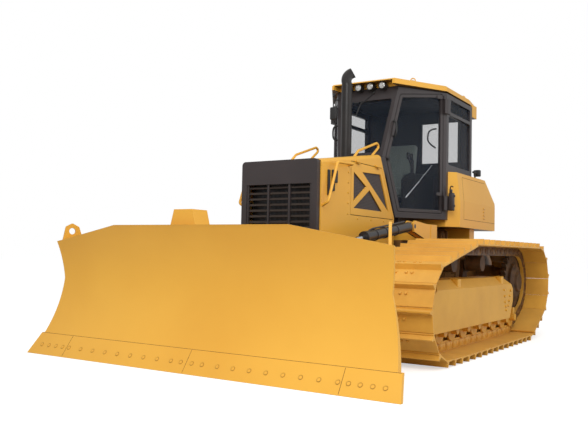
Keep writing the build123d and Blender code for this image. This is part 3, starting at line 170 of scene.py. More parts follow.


# Orange peel is about 3 mm across on the real coat, drawn at 12 mm here so that it shows
# Painted shade: the yellow enamel darkens to dark brown on faces that look down
enamel = sprayedSteel("polyurethane enamel, sprayed yellow", {
    "colour": "#E8AE3F", "shade": "#E0A438", "cloudSize": 1.6, "dust": 0.18, "gloss": 0.36, "coat": 0.14,
    "peelSize": 0.012, "peel": 0.12, "edge": 0.004, "shadeTint": 0.85})
coverEnamel = sprayedSteel("enamel on the track frame, dusty", {
    "colour": "#DDA53C", "shade": "#D09834", "cloudSize": 0.5, "dust": 0.3, "gloss": 0.42, "coat": 0.1,
    "peelSize": 0.012, "peel": 0.2, "edge": 0.006})
# Painted shade: yellow enamel darkened to brown for the parts inside and under the machine
shadedEnamel = sprayedSteel("enamel darkened to brown, painted shade", {
    "colour": "#8A6230", "shade": "#6A4826", "cloudSize": 0.3, "dust": 0.2, "gloss": 0.5, "coat": 0.0,
    "peelSize": 0.02, "peel": 0.5, "edge": 0.004})
# Dark brown for the sprockets and carrier rollers: partly dried earth, partly painted shade
crustAndShadeSteel = sprayedSteel("hardened steel under dried soil, dark brown", {
    "colour": "#5C4026", "shade": "#3E2B1B", "cloudSize": 0.09, "dust": 0.25, "gloss": 0.55, "coat": 0.0,
    "peelSize": 0.014, "peel": 0.9, "edge": 0.004})
trackEnamel = sprayedSteel("enamel on forged track steel", {
    "colour": "#E2A844", "shade": "#D49A3C", "cloudSize": 0.25, "dust": 0.3, "gloss": 0.4, "coat": 0.1,
    "peelSize": 0.02, "peel": 0.3, "edge": 0.004})
powderCoat = sprayedSteel("textured powder coat, charcoal", {
    "colour": "#3C3535", "shade": "#332D2D", "cloudSize": 0.8, "dust": 0.12, "gloss": 0.36, "coat": 0.15,
    "peelSize": 0.006, "peel": 0.3, "edge": 0.005})
stovePaint = sprayedSteel("heat-resistant silicone paint, matt black", {
    "colour": "#1C1918", "shade": "#24201E", "cloudSize": 0.2, "dust": 0.1, "gloss": 0.34, "coat": 0.1,
    "peelSize": 0.006, "peel": 0.3, "edge": 0.002})
barrelPaint = sprayedSteel("cylinder enamel, dark grey", {
    "colour": "#2C292A", "shade": "#242122", "cloudSize": 0.5, "dust": 0.2, "gloss": 0.3, "coat": 0.2,
    "peelSize": 0.01, "peel": 0.15, "edge": 0.003})
castPaint = sprayedSteel("enamel on cast iron, grey", {
    "colour": "#5A5C5C", "shade": "#4C4E4E", "cloudSize": 0.3, "dust": 0.3, "gloss": 0.45, "coat": 0.0,
    "peelSize": 0.015, "peel": 0.6, "edge": 0.006})
jointShadow = sprayedSteel("open joint between plates, shaded brown", {
    "colour": "#7A4E22", "shade": "#5E3C1C", "cloudSize": 0.1, "dust": 0.0, "gloss": 0.7, "coat": 0.0,
    "peelSize": 0.01, "peel": 0.1, "edge": 0.001})
# Painted shade: a ring of darker yellow round each plough bolt
seatShadow = sprayedSteel("painted shade round a bolt head", {
    "colour": "#B5822F", "shade": "#A97829", "cloudSize": 0.1, "dust": 0.0, "gloss": 0.6, "coat": 0.0,
    "peelSize": 0.01, "peel": 0.1, "edge": 0.001})

# Painted shade, dark brown in blotches, on the chain's upper run and round the sprocket; its lower run keeps
# its yellow
chainShadeZone = {"low": 0.62, "high": 0.86, "ahead": 1.75, "behind": 2.0, "trackX": 1.3, "railReach": 0.083}
chainEnamel = trackEnamel.copy()
chainEnamel.name = "enamel on the track, rails under soil"
linkEnamel = trackEnamel.copy()
linkEnamel.name = "enamel on the chain's links, under soil above"
for shadedChain, onlyRails in ((chainEnamel, True), (linkEnamel, False)):
    tree = shadedChain.node_tree
    shader = next(node for node in tree.nodes if node.type == "BSDF_PRINCIPLED")
    painted = shader.inputs["Base Color"].links[0].from_socket
    place = addNode(tree, "ShaderNodeTexCoord").outputs["Object"]
    apart = addNode(tree, "ShaderNodeSeparateXYZ", links={0: place})
    high = addNode(tree, "ShaderNodeMapRange", {"From Min": chainShadeZone["low"], "From Max": chainShadeZone["high"]},
                   {"Value": apart.outputs["Z"]})
    rear = addNode(tree, "ShaderNodeMapRange", {"From Min": chainShadeZone["ahead"], "From Max": chainShadeZone["behind"]},
                   {"Value": apart.outputs["Y"]})
    chainShade = addNode(tree, "ShaderNodeMath", {"operation": "MAXIMUM"}, {0: high.outputs[0], 1: rear.outputs[0]})
    blotch = addNode(tree, "ShaderNodeTexNoise", {"Scale": 14, "Detail": 6}, {"Vector": place})
    broken = addNode(tree, "ShaderNodeMapRange", {"From Min": 0.3, "From Max": 0.5, "To Min": 0.72},
                     {"Value": blotch.outputs["Fac"]})
    chainShade = addNode(tree, "ShaderNodeMath", {"operation": "MULTIPLY"},
                   {0: chainShade.outputs[0], 1: broken.outputs[0]})
    if onlyRails:
        across = addNode(tree, "ShaderNodeMath", {"operation": "ABSOLUTE"}, {0: apart.outputs["X"]})
        fromMiddle = addNode(tree, "ShaderNodeMath", {"operation": "SUBTRACT", 1: chainShadeZone["trackX"]},
                             {0: across.outputs[0]})
        offLine = addNode(tree, "ShaderNodeMath", {"operation": "ABSOLUTE"}, {0: fromMiddle.outputs[0]})
        onRail = addNode(tree, "ShaderNodeMath", {"operation": "LESS_THAN", 1: chainShadeZone["railReach"]},
                         {0: offLine.outputs[0]})
        turn = addNode(tree, "ShaderNodeSeparateXYZ",
                       links={0: addNode(tree, "ShaderNodeNewGeometry").outputs["Normal"]})
        sideways = addNode(tree, "ShaderNodeMath", {"operation": "ABSOLUTE"}, {0: turn.outputs["X"]})
        railSide = addNode(tree, "ShaderNodeMath", {"operation": "GREATER_THAN", 1: 0.5},
                           {0: sideways.outputs[0]})
        rails = addNode(tree, "ShaderNodeMath", {"operation": "MULTIPLY"},
                        {0: onRail.outputs[0], 1: railSide.outputs[0]})
        chainShade = addNode(tree, "ShaderNodeMath", {"operation": "MULTIPLY"},
                       {0: chainShade.outputs[0], 1: rails.outputs[0]})
    # Painted shade: dark brown mixed over the yellow where the mask is high
    withChainShade = addNode(tree, "ShaderNodeMix", {"data_type": "RGBA", 7: toLinear("#5E3E20")},
                      {0: chainShade.outputs[0], 6: painted})
    tree.links.new(withChainShade.outputs[2], shader.inputs["Base Color"])

# Hard chrome, ground and polished: its gloss varies a little from place to place
rodChrome, tree, shader, place = newMaterial("hard chrome, ground and polished", Metallic=1, Roughness=0.12)
patches = addNode(tree, "ShaderNodeTexNoise", {"Scale": 160, "Detail": 2}, {"Vector": place})
wear = addNode(tree, "ShaderNodeMapRange", {"To Min": 0.08, "To Max": 0.2}, {"Value": patches.outputs["Fac"]})
tree.links.new(wear.outputs[0], shader.inputs["Roughness"])
shader.inputs["Base Color"].default_value = toLinear("#C9CBCE")

# Laminated float glass with a grey blue film between its sheets: it dims what is behind it
tintedGlass, tree, shader, place = newMaterial("laminated float glass, grey tint", Roughness=0.04, IOR=1.5,
                                               Specular_IOR_Level=0.2, Alpha=0.17)
ripple = addNode(tree, "ShaderNodeTexNoise", {"Scale": 2.5, "Detail": 1}, {"Vector": place})
shadeTint = addNode(tree, "ShaderNodeMix", {"data_type": "RGBA", 6: toLinear("#2A3545"), 7: toLinear("#232C39")},
               {0: ripple.outputs["Fac"]})
tree.links.new(shadeTint.outputs[2], shader.inputs["Base Color"])
wave = addNode(tree, "ShaderNodeBump", {"Strength": 0.05, "Distance": 0.002},
               {"Height": ripple.outputs["Fac"]})
tree.links.new(wave.outputs[0], shader.inputs["Normal"])

# Pressed lamp glass over a bright reflector: its pattern is drawn as cells 12 mm across
lampLens, tree, shader, place = newMaterial("pressed glass over an aluminised reflector",
                                            Metallic=0.55, Roughness=0.12)
flutes = addNode(tree, "ShaderNodeTexVoronoi", {"Scale": 1 / 0.012}, {"Vector": place})
spark = addNode(tree, "ShaderNodeMix", {"data_type": "RGBA", 6: toLinear("#F4F3EE"), 7: toLinear("#8C8A86")},
                {0: flutes.outputs["Distance"]})
tree.links.new(spark.outputs[2], shader.inputs["Base Color"])
cut = addNode(tree, "ShaderNodeBump", {"Strength": 0.8, "Distance": 0.002},
              {"Height": flutes.outputs["Distance"]})
tree.links.new(cut.outputs[0], shader.inputs["Normal"])

# Seat cover: polyester cloth, threads 0.8 mm apart, drawn about 6 mm apart
seatFabric, tree, shader, place = newMaterial("polyester seat cloth, woven, grey green", Roughness=0.9,
                                              Sheen_Weight=0.3, Sheen_Roughness=0.5)
threadScale = 1 / 0.003 / 6.28
warp = addNode(tree, "ShaderNodeTexWave", {"Scale": threadScale, "bands_direction": "X"}, {"Vector": place})
weft = addNode(tree, "ShaderNodeTexWave", {"Scale": threadScale, "bands_direction": "Z"}, {"Vector": place})
weave = addNode(tree, "ShaderNodeMath", {"operation": "MULTIPLY"},
                {0: warp.outputs["Fac"], 1: weft.outputs["Fac"]})
thread = addNode(tree, "ShaderNodeMix", {"data_type": "RGBA", 6: toLinear("#6E7770"), 7: toLinear("#8A938B")},
                 {0: weave.outputs[0]})
tree.links.new(thread.outputs[2], shader.inputs["Base Color"])
raised = addNode(tree, "ShaderNodeBump", {"Strength": 0.4, "Distance": 0.0006}, {"Height": weave.outputs[0]})
tree.links.new(raised.outputs[0], shader.inputs["Normal"])

# Perforated steel sheet, painted: 5 mm holes every 8 mm, drawn every 16 mm so that they show
perforated, tree, shader, place = newMaterial("perforated steel, painted black", Roughness=0.6)
holes = addNode(tree, "ShaderNodeTexVoronoi", {"Scale": 1 / 0.016, "Randomness": 0}, {"Vector": place})
hole = addNode(tree, "ShaderNodeMapRange", {"From Min": 0.3, "From Max": 0.42},
               {"Value": holes.outputs["Distance"]})
mesh = addNode(tree, "ShaderNodeMix", {"data_type": "RGBA", 6: toLinear("#171416"), 7: toLinear("#4A4140")},
               {0: hole.outputs[0]})
tree.links.new(mesh.outputs[2], shader.inputs["Base Color"])
sunk = addNode(tree, "ShaderNodeBump", {"Strength": 0.6, "Distance": 0.002}, {"Height": hole.outputs[0]})
tree.links.new(sunk.outputs[0], shader.inputs["Normal"])

# Aluminium radiator fins: folded strips 2 mm apart, drawn about 16 mm apart
fins, tree, shader, place = newMaterial("aluminium fins, folded", Metallic=0.8, Roughness=0.5)
strips = addNode(tree, "ShaderNodeTexWave", {"Scale": 1 / 0.008 / 6.28, "bands_direction": "X"},
                 {"Vector": place})
shade = addNode(tree, "ShaderNodeMix", {"data_type": "RGBA", 6: toLinear("#1E1E20"), 7: toLinear("#5C5E62")},
                {0: strips.outputs["Fac"]})
tree.links.new(shade.outputs[2], shader.inputs["Base Color"])

# Moulded ABS with a leather grain, about 1.5 mm across, drawn at 5 mm
moulded, tree, shader, place = newMaterial("ABS, moulded with a grain", Roughness=0.55)
grain = addNode(tree, "ShaderNodeTexVoronoi", {"Scale": 1 / 0.005}, {"Vector": place})
bump = addNode(tree, "ShaderNodeBump", {"Strength": 0.3, "Distance": 0.0005},
               {"Height": grain.outputs["Distance"]})
tree.links.new(bump.outputs[0], shader.inputs["Normal"])
patch = addNode(tree, "ShaderNodeTexNoise", {"Scale": 3}, {"Vector": place})
tone = addNode(tree, "ShaderNodeMix", {"data_type": "RGBA", 6: toLinear("#1F1E1E"), 7: toLinear("#292827")},
               {0: patch.outputs["Fac"]})
tree.links.new(tone.outputs[2], shader.inputs["Base Color"])
print("materials ready")

# CAD nodes keep their shapes and get these finishes
finishes = {
    enamel: ["push_frame", "blade_back", "mouldboard", "blade_lift_eyes", "cab_roof", "drawbar",
             "cutting_edge", "engine_door_left", "engine_door_right", "frame_trunnions", "hood", "hood_rails",
             "angle_yoke", "radiator_housing", "rear_body", "support_beams"],
    coverEnamel: ["track_frames", "track_rollers", "idlers"],
    # Painted shade: brown enamel for the hull, cross members and final drives
    shadedEnamel: ["hull", "cross_members", "final_drives"],
    # Sprockets and carrier rollers: dark brown, partly dried earth, partly painted shade
    crustAndShadeSteel: ["sprockets", "carrier_rollers"],
    # The track gets painted shade on its rails above and at the rear
    chainEnamel: ["track_left", "track_right"],
    powderCoat: ["radiator_guard", "grille", "cab_cross_walls", "cab_floor", "cab_head_frame", "cab_platform",
                 "cab_side_frame_left", "cab_side_frame_right", "door_left", "door_right"],
    stovePaint: ["exhaust_stack"],
    barrelPaint: ["lift_barrel_left", "lift_barrel_right", "angle_barrel_left", "angle_barrel_right",
                  "tilt_barrel"],
    rodChrome: ["lift_rod_left", "lift_rod_right", "angle_rod_left", "angle_rod_right", "tilt_rod"],
    tintedGlass: ["cab_glass", "door_glass_left", "door_glass_right"],
    castPaint: ["engine_block"],
    perforated: ["engine_door_screen_left", "engine_door_screen_right"],
    fins: ["radiator"],
    moulded: ["consoles", "seat", "work_lamps"],
}
for material, names in finishes.items():
    for name in names:
        for slot in nodes[name].material_slots:
            slot.material = material
print("CAD nodes finished")

# Modelling helpers


def clearSelection():
    if bpy.context.object and bpy.context.object.mode != "OBJECT":
        bpy.ops.object.mode_set(mode="OBJECT")
    bpy.ops.object.select_all(action="DESELECT")


def pickFaces(piece, rule):  # leaves the piece in edit mode with the faces that the rule names
    bpy.ops.object.mode_set(mode="EDIT")
    bpy.ops.mesh.select_mode(type="FACE")
    bpy.ops.mesh.select_all(action="DESELECT")
    mesh = bmesh.from_edit_mesh(piece.data)
    for face in mesh.faces:
        face.select_set(rule(face))
    bmesh.update_edit_mesh(piece.data)


def applyModifier(piece, kind, **settings):
    bpy.context.view_layer.objects.active = piece
    change = piece.modifiers.new(kind, kind)
    for name, value in settings.items():
        setattr(change, name, value)
    bpy.ops.object.modifier_apply(modifier=change.name)


def settle(piece, name, body, material, smooth=35):  # gives a finished piece its name, place and finish
    clearSelection()
    piece.select_set(True)
    bpy.context.view_layer.objects.active = piece
    bpy.ops.object.transform_apply(location=True, rotation=True, scale=True)
    bpy.ops.object.shade_smooth_by_angle(angle=math.radians(smooth))
    piece.name = name
    piece.data.materials.clear()
    piece.data.materials.append(material)
    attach(piece, body)
    return piece


def addBlock(low, high, edge, segments=2):  # a block between two corners, its edges rounded
    clearSelection()
    middle = [(a + b) / 2 for a, b in zip(low, high)]
    bpy.ops.mesh.primitive_cube_add(size=1, location=middle)
    piece = bpy.context.object
    piece.scale = [b - a for a, b in zip(low, high)]
    bpy.ops.object.transform_apply(location=True, rotation=True, scale=True)
    applyModifier(piece, "BEVEL", width=edge, segments=segments, limit_method="ANGLE")
    return piece


def addBar(start, end, radius, sides=12, edge=0.0):  # a round bar between two points
    clearSelection()
    start, end = Vector(start), Vector(end)
    along = end - start
    turn = along.to_track_quat("Z", "Y").to_euler()
    bpy.ops.mesh.primitive_cylinder_add(vertices=sides, radius=radius, depth=along.length,
                                        location=(start + end) / 2, rotation=turn)
    piece = bpy.context.object
    bpy.ops.object.transform_apply(location=True, rotation=True, scale=True)
    if edge:
        applyModifier(piece, "BEVEL", width=edge, segments=2, limit_method="ANGLE")
    return piece


def addPipe(points, radius, smoothness=4):  # a bent tube that follows a smooth line through the points
    clearSelection()
    curve = bpy.data.curves.new("pipe", "CURVE")
    curve.dimensions = "3D"
    curve.bevel_depth = radius
    curve.bevel_resolution = 3
    curve.resolution_u = smoothness
    curve.use_fill_caps = True
    line = curve.splines.new("NURBS")
    line.points.add(len(points) - 1)
    for point, place in zip(line.points, points):
        point.co = (*place, 1)
    line.order_u = 3
    line.use_endpoint_u = True
    piece = bpy.data.objects.new("pipe", curve)
    bpy.context.scene.collection.objects.link(piece)
    piece.select_set(True)
    bpy.context.view_layer.objects.active = piece
    bpy.ops.object.convert(target="MESH")
    return bpy.context.object


def joinPieces(pieces):
    clearSelection()
    for piece in pieces:
        piece.select_set(True)
    bpy.context.view_layer.objects.active = pieces[0]
    bpy.ops.object.join()
    return bpy.context.object


def repeatPiece(source, places):  # one copy with its own mesh at each place, joined
    copies = []
    for place in places:
        copy = source.copy()
        copy.data = source.data.copy()
        copy.matrix_world = place
        bpy.context.scene.collection.objects.link(copy)
        copies.append(copy)
    bpy.data.objects.remove(source)
    return joinPieces(copies)


def facing(place, outward, turn=0.0):  # the place of a copy whose own +Z points outwards
    look = Vector(outward).to_track_quat("Z", "Y").to_matrix().to_4x4()
    return Matrix.Translation(place) @ look @ Matrix.Rotation(turn, 4, "Z")


def mirrorAcross(piece):  # a second half on the other side of the machine
    clearSelection()
    piece.select_set(True)
    applyModifier(piece, "MIRROR", use_axis=(True, False, False), use_clip=False, use_mirror_merge=False)
    return piece


def addBoltHead(radius, height):  # hexagon head with a turned chamfer, on a flange
    clearSelection()
    bpy.ops.mesh.primitive_cylinder_add(vertices=6, radius=radius, depth=height, location=(0, 0, height / 2))
    piece = bpy.context.object
    bpy.ops.object.transform_apply(location=True)
    pickFaces(piece, lambda face: face.normal.z > 0.9)
    bpy.ops.mesh.inset(thickness=radius * 0.16, depth=height * 0.15)
    pickFaces(piece, lambda face: face.normal.z < -0.9)
    bpy.ops.mesh.inset(thickness=-radius * 0.2)
    bpy.ops.object.mode_set(mode="OBJECT")
    return piece


# Blade: plough bolts and the joints between the lengths of its cutting edge
edge = {
    "tipY": -2.84,
    "slope": 35.0,  # degrees that the edge leans back
    "height": 0.19,
    "topHalf": 1.925,
    "joints": (-1.485, 0.0, 1.485),
    "seamRadius": 0.0022,
    "boltRise": 0.085,
    "innerBolt": 0.06,
    "firstBolt": 0.17,
    "boltPitch": 0.16,
    "boltCount": 9,
    "bitBolts": (1.54, 1.635, 1.735, 1.835),
    "boltRadius": 0.0185,
}
lean = math.radians(edge["slope"])
edgeOut = Vector((0, -math.cos(lean), math.sin(lean)))
edgeUp = Vector((0, math.sin(lean), math.cos(lean)))


def onEdge(x, rise, out=0.0):  # a point on the front of the cutting edge
    return Vector((x, edge["tipY"], 0)) + edgeUp * rise / math.cos(lean) + edgeOut * out


clearSelection()
bpy.ops.mesh.primitive_cylinder_add(vertices=20, radius=edge["boltRadius"], depth=0.008)
plough = bpy.context.object
pickFaces(plough, lambda face: face.normal.z > 0.9)
bpy.ops.mesh.inset(thickness=0.003, depth=-0.0035)
bpy.ops.mesh.inset(thickness=0.002, depth=0.0028)
bpy.ops.object.mode_set(mode="OBJECT")
boltXs = [edge["innerBolt"]] + [edge["firstBolt"] + edge["boltPitch"] * k for k in range(edge["boltCount"])]
boltXs += edge["bitBolts"]
places = [facing(onEdge(side * x, edge["boltRise"], -0.0012), edgeOut) for x in boltXs for side in (-1, 1)]
settle(repeatPiece(plough, places), "plough_bolts", "blade", enamel)

seams = []
for x in edge["joints"]:
    seams.append(addBar(onEdge(x, 0.008, -0.0008), onEdge(x * 0.995, edge["height"] - 0.004, -0.0008),
                        edge["seamRadius"], 8))
seams.append(addBar(onEdge(-edge["topHalf"], edge["height"], -0.0012),
                    onEdge(edge["topHalf"], edge["height"], -0.0012), edge["seamRadius"], 8))
settle(joinPieces(seams), "cutting_edge_joints", "blade", jointShadow)
# Painted shade rings round the plough bolts
shadeRings = []
for x in boltXs:
    for side in (-1, 1):
        foot = onEdge(side * x, edge["boltRise"], -0.004)
        shadeRings.append(addBar(foot, foot + edgeOut * 0.0049, edge["boltRadius"] + 0.0025, 20))
settle(joinPieces(shadeRings), "plough_bolt_shade_rings", "blade", seatShadow)
print("blade finished")

# Track chain: link plates beside the rails, and the bolts that hold the shoes
chain = {
    "centre": 1.30,
    "pitch": 0.19,
    "running": 0.0453,  # from a wheel's tread to the line of the pins
    "wheels": ((-1.055, 0.515, 0.335), (-0.21, 0.945, 0.09), (0.71, 0.945, 0.09),
               (1.79, 0.2703, 0.1), (-0.63, 0.2703, 0.1)),
    "sprocket": (2.16, 0.70, 0.382),  # radius of the pins' circle
    "plateOut": 0.0815,
    "shoe": 0.069,  # outer face of a shoe, outside the pins
    "boltXs": (-0.108, -0.052, 0.052, 0.108),
    "boltYs": (-0.028, 0.052),  # along the chain, from the pin
    "boss": (0.055, 0.006),  # along the plate and above its pin line
}


def pinLine():  # the closed line of the pins round the wheels, as points evenly a link apart
    circles = [(y, z, r + chain["running"]) for y, z, r in chain["wheels"]] + [chain["sprocket"]]
    cloud = sorted({(round(y + r * math.cos(a), 6), round(z + r * math.sin(a), 6))
                    for y, z, r in circles for a in (math.radians(k / 2) for k in range(720))})
    loop = []
    for run in (cloud, cloud[::-1]):
        side = []
        for p in run:
            while len(side) > 1 and ((side[-1][0] - side[-2][0]) * (p[1] - side[-2][1])
                                     - (side[-1][1] - side[-2][1]) * (p[0] - side[-2][0])) <= 0:
                side.pop()
            side.append(p)
        loop += side[:-1]
    loop.append(loop[0])
    lengths = [math.dist(a, b) for a, b in zip(loop, loop[1:])]
    count = round(sum(lengths) / chain["pitch"])
    step = sum(lengths) / count
    found, walked, target = [], 0.0, 0.0
    for (a, b), length in zip(zip(loop, loop[1:]), lengths):
        while target < walked + length and len(found) < count:
            share = (target - walked) / length
            found.append(((a[0] + (b[0] - a[0]) * share, a[1] + (b[1] - a[1]) * share),
                          ((b[0] - a[0]) / length, (b[1] - a[1]) / length)))
            target += step
        walked += length
    return found


plate = addBlock((-0.006, -0.088, -0.027), (0.006, 0.088, 0.05), 0.012, 2)
bossY, bossZ = chain["boss"]
nearBoss = addBar((-0.011, -bossY, bossZ), (0.011, -bossY, bossZ), 0.030, 12, 0.003)
pinEnd = addBar((-0.014, -bossY, bossZ), (0.014, -bossY, bossZ), 0.016, 10, 0.002)
farBoss = addBar((-0.009, bossY, bossZ), (0.009, bossY, bossZ), 0.026, 12, 0.003)
linkPlate = joinPieces([plate, nearBoss, pinEnd, farBoss])
shoeBolt = addBoltHead(0.0145, 0.013)
platePlaces, boltPlaces = [], []
for (y, z), (dy, dz) in pinLine():
    outwardY, outwardZ = dz, -dy  # the line runs with the solid side on its left
    upright = Matrix(((1, 0, 0), (0, dy, outwardY), (0, dz, outwardZ)))
    for side in (-1, 1):
        for rail in (-1, 1):
            x = side * chain["centre"] + rail * chain["plateOut"]
            platePlaces.append(Matrix.Translation((x, y, z)) @ upright.to_4x4())
        for x in chain["boltXs"]:
            for ahead in chain["boltYs"]:
                place = Vector((side * chain["centre"] + x, y, z))
                place += Vector((0, outwardY, outwardZ)) * chain["shoe"]
                place += Vector((0, dy, dz)) * ahead
                boltPlaces.append(Matrix.Translation(place) @ upright.to_4x4())
links = repeatPiece(linkPlate, platePlaces)
# The link plates carry painted shade above and at the rear
settle(links, "link_plates", "chassis", linkEnamel)
settle(repeatPiece(shoeBolt, boltPlaces), "shoe_bolts", "chassis", trackEnamel)
print("track chain finished")

# Track frame's cover: bolts at its rear end, lifting lugs on its bevel and the idler's axle cap
cover = {
    "outer": 1.515,
    "boltPlaces": ((1.13, 0.635), (1.16, 0.56), (1.175, 0.491), (1.20, 0.44), (1.218, 0.394)),
    "rearBolt": (1.395, 0.62),  # the highest of a row that runs down and forwards
    "rearStep": (0.03, 0.06),
    "rearCount": 4,
    "lugXs": (1.40, 1.50),
    "lugYs": (-0.35, 1.12),
    "lugZs": (0.70, 0.80),
    "lugHalf": 0.05,
    "capXs": (1.50, 1.5148),
    "capRadius": 0.075,
}
rearY, rearZ = cover["rearBolt"]
stepY, stepZ = cover["rearStep"]
places = []
for side in (-1, 1):
    places += [facing((side * cover["outer"], y, z), (side, 0, 0)) for y, z in cover["boltPlaces"]]
    places += [facing((side * cover["outer"], rearY - stepY * k, rearZ - stepZ * k), (side, 0, 0))
               for k in range(cover["rearCount"])]
settle(repeatPiece(addBoltHead(0.014, 0.012), places), "cover_bolts", "chassis", enamel)
lugs = []
(x0, x1), (z0, z1), half = cover["lugXs"], cover["lugZs"], cover["lugHalf"]
for y in cover["lugYs"]:
    lug = addBlock((x0, y - half, z0), (x1, y + half, z1), 0.012)
    pickFaces(lug, lambda face: face.normal.z > 0.9)
    bpy.ops.transform.resize(value=(0.25, 0.45, 1))
    bpy.ops.object.mode_set(mode="OBJECT")
    lugs.append(lug)
capY, capZ = chain["wheels"][0][:2]
x0, x1 = cover["capXs"]
lugs.append(addBar((x0, capY, capZ), (x1, capY, capZ), cover["capRadius"], 28, 0.004))
settle(mirrorAcross(joinPieces(lugs)), "cover_lugs", "chassis", enamel)
print("track frames finished")

# Cab: the plane of each door, from its rear post forwards
door = {
    "post": (0.800, 1.085),
    "corner": (0.300, 0.305),
    "handle": (0.775, 2.44, 2.62),  # along the door, low and high
    "loop": ((0.105, 2.60), (0.20, 2.585), (0.235, 2.50), (0.225, 2.41), (0.115, 2.36)),
    "strut": ((0.16, 2.14), (0.55, 1.72)),
    "sleeve": (0.35, 1.932),  # where the strut's thicker half begins
    "latch": (0.845, 2.165),
}
doorRun = (Vector(door["corner"]) - Vector(door["post"])).normalized()


def onDoor(u, z, out):  # a point on the left door's outer face, or that far outside it
    place = Vector(door["post"]) + doorRun * u + Vector((-doorRun.y, doorRun.x)) * out
    return Vector((place.x, place.y, z))


for side, word in ((1, "left"), (-1, "right")):
    flip = Matrix.Scale(side, 4, (1, 0, 0))
    u, low, high = door["handle"]
    grip = [(u, low, 0.0), (u, low, 0.05), (u - 0.01, (low + high) / 2, 0.06),
            (u, high, 0.05), (u, high, 0.0)]
    handle = addPipe([flip @ onDoor(*point) for point in grip], 0.011)
    latchU, latchZ = door["latch"]
    latch = addBar(flip @ onDoor(latchU, latchZ, -0.004), flip @ onDoor(latchU, latchZ, 0.022),
                   0.021, 20, 0.004)
    keyhole = addBar(flip @ onDoor(latchU, latchZ, 0.02), flip @ onDoor(latchU, latchZ, 0.028),
                     0.009, 12, 0.002)
    loop = addPipe([flip @ onDoor(a, z, -0.07) for a, z in door["loop"]], 0.010)
    settle(joinPieces([handle, latch, keyhole, loop]), "door_handles_" + word, "cab_door_" + word, moulded)
    low, high = door["strut"]
    strut = joinPieces([addBar(flip @ onDoor(*low, -0.075), flip @ onDoor(*high, -0.06), 0.005),
                        addBar(flip @ onDoor(*door["sleeve"], -0.0675), flip @ onDoor(*high, -0.06),
                               0.010, 14, 0.002)])
    settle(strut, "door_strut_" + word, "cab_door_" + word, rodChrome)

# Door holder on each rear post: a plate with two bolts and a hook above
doorHolder = {
    "plate": ((0.838, 1.062, 1.58), (0.905, 1.118, 1.80)),
    "neck": ((0.846, 1.074, 1.80), (0.880, 1.108, 1.845)),
    "boltXs": (0.904, 0.916),
    "boltY": 1.093,
    "boltZs": (1.64, 1.76),
    "hook": ((0.853, 1.093, 1.84), (0.856, 1.09, 1.875), (0.88, 1.07, 1.885), (0.90, 1.06, 1.87)),
}
for side, word in ((1, "left"), (-1, "right")):
    keeper = [addBlock(*doorHolder["plate"], 0.012, 3), addBlock(*doorHolder["neck"], 0.008, 3)]
    (x0, x1), y = doorHolder["boltXs"], doorHolder["boltY"]
    for z in doorHolder["boltZs"]:
        keeper.append(addBar((x0, y, z), (x1, y, z), 0.014, 16, 0.003))
    keeper.append(addPipe(doorHolder["hook"], 0.007))
    keeper = joinPieces(keeper)
    if side < 0:
        clearSelection()
        keeper.select_set(True)
        bpy.context.view_layer.objects.active = keeper
        bpy.ops.object.transform_apply(location=True, rotation=True, scale=True)
        bpy.ops.transform.resize(value=(-1, 1, 1), center_override=(0, 0, 0))
        bpy.ops.object.transform_apply(location=True, rotation=True, scale=True)
        bpy.ops.object.mode_set(mode="EDIT")
        bpy.ops.mesh.select_all(action="SELECT")
        bpy.ops.mesh.normals_make_consistent(inside=False)
        bpy.ops.object.mode_set(mode="OBJECT")
    settle(keeper, "door_holder_" + word, "chassis", powderCoat)

mirror = {
    "low": (-0.475, 0.385, 2.70),
    "high": (-0.375, 0.425, 2.86),
    "arm": ((-0.43, 0.405, 2.84), (-0.44, 0.40, 2.93), (-0.41, 0.44, 2.96), (-0.375, 0.47, 2.95)),
    "knob": ((-0.425, 0.40, 2.99), (-0.425, 0.40, 3.03)),
    "stalk": ((-0.425, 0.41, 2.90), (-0.425, 0.40, 3.0)),
}
case = addBlock(mirror["low"], mirror["high"], 0.014, 3)
pickFaces(case, lambda face: face.normal.y > 0.98)
bpy.ops.mesh.inset(thickness=0.006, depth=-0.004)
bpy.ops.object.mode_set(mode="OBJECT")
arm = addPipe(mirror["arm"], 0.008)
knob = addBar(*mirror["knob"], 0.018, 16, 0.006)
stalk = addBar(*mirror["stalk"], 0.006)
settle(joinPieces([case, arm, knob, stalk]), "mirror", "chassis", moulded)

lampFace = {"xs": (-0.24, -0.08, 0.08, 0.24), "y": 0.395, "z": 3.065, "radius": 0.045, "lens": 0.037}
rims, lenses = [], []
front, lampZ = lampFace["y"], lampFace["z"]
for x in lampFace["xs"]:
    rim = addBar((x, front + 0.012, lampZ), (x, front - 0.010, lampZ), lampFace["radius"], 28)
    pickFaces(rim, lambda face: face.normal.y < -0.9)
    bpy.ops.mesh.inset(thickness=0.005, depth=0)
    bpy.ops.mesh.inset(thickness=0.0015, depth=-0.006)
    bpy.ops.object.mode_set(mode="OBJECT")
    rims.append(rim)
    lens = addBar((x, front - 0.001, lampZ), (x, front - 0.0045, lampZ), lampFace["lens"], 28)
    pickFaces(lens, lambda face: face.normal.y < -0.9)
    for drawIn, rise in ((0.010, 0.0025), (0.010, 0.0015), (0.008, 0.0008)):
        bpy.ops.mesh.inset(thickness=drawIn, depth=rise)
    bpy.ops.object.mode_set(mode="OBJECT")
    lenses.append(lens)
settle(joinPieces(rims), "lamp_rims", "chassis", moulded)
settle(joinPieces(lenses), "lamp_lenses", "chassis", lampLens)

wiper = {
    "pivot": (0.10, 3.0),
    "tip": (-0.075, 2.86),
    "bladeHalf": 0.13,
    "screenFoot": (0.305, 2.19),  # the windscreen's foot and head, along and up
    "screenHead": (0.485, 3.045),
}


